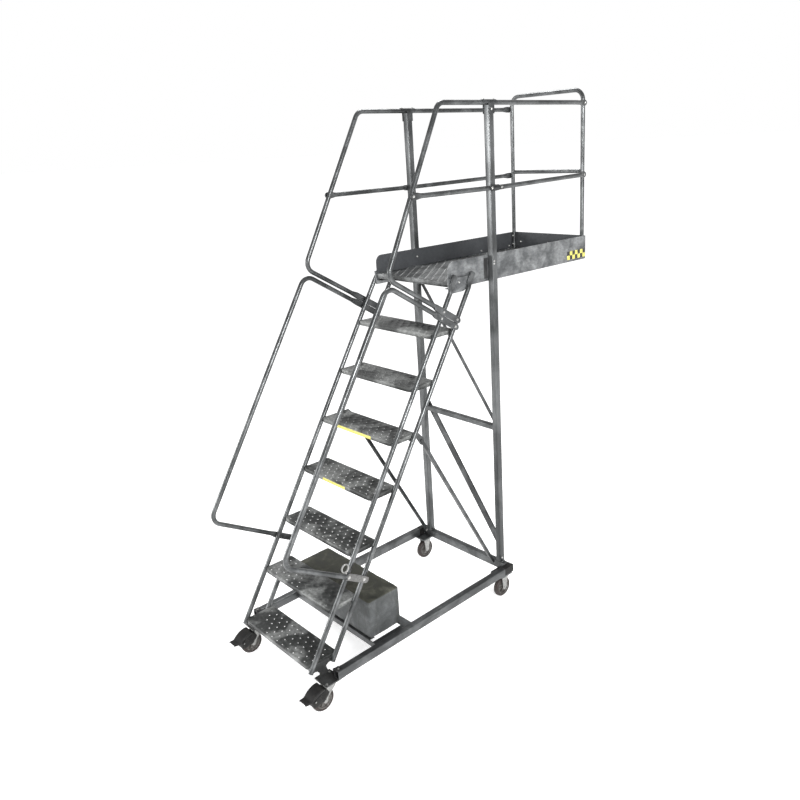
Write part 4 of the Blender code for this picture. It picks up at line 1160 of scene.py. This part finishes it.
def rear_caster(side_name, x):
    name = f"rear_{side_name}"
    y = REAR_Y
    fork(name, x, "frame", 6.14, (y - 0.8, y + 1.5), y + 0.1, 0.6)
    plate = bmesh.new()
    caster_plate(plate, x, y, PLATE_TOP_Z - 0.1, 6.5)
    make(f"{name}_plate_round", plate, paint, "frame", bevel=0.02)
    pin = bmesh.new()
    axle(pin, x, y)
    for u in (-1.5, 1.5):
        for v in (-1.5, 1.5):
            bolt(pin, (x + u, y + v, PLATE_TOP_Z - 0.1), -Z_AXIS, 0.22)
    make(f"{name}_axle_and_bolts", pin, zinc)
    wheel(name, x, y, f"{name}_wheel")


# --- Carried-over nodes ---------------------------------------------------------------------


def dress_nodes():
    """Better materials and rounded edges for the CAD pieces whose shape is right."""
    for look, width, names in (
            (paint, 0.04, ("ballast_frame",)), (paint, 0.03, ("platform_frame",)),
            (black_steel, 0.04, ("front_bracket_left", "front_bracket_right")),
            # The left and rear toe boards take the darker board paint, which is a painted shade.
            (shaded_board, 0.03, ("toe_board_left", "toe_board_rear")),
            (outer_board, 0.03, ("platform_hanger_left", "platform_hanger_right", "toe_board_right")),
            (zinc, 0.0, ("eye_bolt",))):
        for name in names:
            item = bpy.data.objects[name]
            item.data.materials.clear()
            item.data.materials.append(look.material)
            if width:
                soften(item, width, 2)
            else:
                item.data.shade_smooth()


# --- Camera, floor and light ----------------------------------------------------------------

CAMERA_TURN, CAMERA_TILT, CAMERA_ROLL = 0.8200066582, 0.3080589, -0.0538772533
CAMERA_SIDE, CAMERA_UP, CAMERA_DISTANCE = -16.60099, 0.2014175, 158.744558
TARGET = Vector((0, 25, 60))
LENS_MM, SHIFT_X, SHIFT_Y = 33.695, -0.03877, -0.01804


def camera():
    back = Vector((math.sin(CAMERA_TURN) * math.cos(CAMERA_TILT),
                   -math.cos(CAMERA_TURN) * math.cos(CAMERA_TILT), math.sin(CAMERA_TILT)))
    level = (-back).cross(Z_AXIS).normalized()
    above = level.cross(-back)
    right = level * math.cos(CAMERA_ROLL) + above * math.sin(CAMERA_ROLL)
    up = above * math.cos(CAMERA_ROLL) - level * math.sin(CAMERA_ROLL)
    data = bpy.data.cameras.new("camera")
    data.sensor_width = 36.0
    data.lens = LENS_MM
    data.shift_x = SHIFT_X
    data.shift_y = SHIFT_Y
    data.clip_end = 2000
    item = add_object("camera", data)
    turn = Matrix((right, up, back)).transposed().to_4x4()
    place = TARGET + back * CAMERA_DISTANCE - right * CAMERA_SIDE - up * CAMERA_UP
    turn.translation = metres(*place)
    item.matrix_world = turn
    bpy.context.scene.camera = item


def floor():
    solid = bmesh.new()
    reach = 20000
    corners = ((-reach, -reach), (reach, -reach), (reach, reach), (-reach, reach))
    solid.faces.new([solid.verts.new(metres(x, y, -0.02)) for x, y in corners])
    mesh = bpy.data.meshes.new("floor")
    solid.to_mesh(mesh)
    solid.free()
    look = bpy.data.materials.new("pale_floor")
    look.use_nodes = True
    shader = look.node_tree.nodes["Principled BSDF"]
    for socket, value in (("Base Color", (0.92, 0.92, 0.92, 1)), ("Roughness", 0.9),
                          ("Specular IOR Level", 0.1), ("Emission Color", (1, 1, 1, 1)),
                          ("Emission Strength", 0.55)):
        shader.inputs[socket].default_value = value
    mesh.materials.append(look)
    add_object("floor", mesh)


def area(name, place, target, size, watts):
    data = bpy.data.lights.new(name, "AREA")
    data.shape = "DISK"
    data.size = size
    data.energy = watts
    item = add_object(name, data)
    item.location = place
    item.rotation_euler = (Vector(target) - Vector(place)).to_track_quat("-Z", "Y").to_euler()


def studio():
    """Three soft lights, and a banded sky that only reflections see behind a white backdrop."""
    area("key", (5.2, -2.2, 3.4), (0, 0, 1.3), 1.7, 400)
    area("front", (-2.9, -5.4, 2.6), (0, 0, 1.2), 1.8, 190)
    area("top", (-1.5, 1.5, 5.6), (0, 0, 1.0), 1.8, 130)
    world = bpy.data.worlds.new("studio")
    bpy.context.scene.world = world
    world.use_nodes = True
    tree = world.node_tree
    tree.nodes.clear()
    direction = add_node(tree, "TexCoord").outputs["Generated"]
    height = add_node(tree, "SeparateXYZ", Vector=direction).outputs["Z"]
    spread = add_node(tree, "MapRange", Value=height, **{"From Min": -1}).outputs["Result"]
    bands = add_ramp(tree, spread, ((0.45, 0.4), (0.54, 1.0), (0.7, (0.3, 0.3, 0.305)), (1.0, 0.9)))
    glow = add_node(tree, "Background", Color=bands, Strength=1.0)
    white = add_node(tree, "Background", Color=(1, 1, 1, 1))
    seen = add_node(tree, "LightPath").outputs["Is Camera Ray"]
    choose = add_node(tree, "MixShader", Fac=seen)
    tree.links.new(glow.outputs[0], choose.inputs[1])
    tree.links.new(white.outputs[0], choose.inputs[2])
    add_node(tree, "OutputWorld", Surface=choose.outputs[0])
    bpy.context.scene.view_settings.view_transform = "Standard"


treads()
stiles()
side_tubes()
rear_tubes()
rail_clamps()
platform()
checker_tape()
lip_tapes()
base_bars()
base_welds()
rail_end_caps()
braces()
counterweight()
front_corner_details()
zinc_sleeve()
for caster_side, direction in SIDES:
    front_caster(caster_side, direction * FRONT_X)
    rear_caster(caster_side, direction * REAR_X)
dress_nodes()
camera()
floor()
studio()
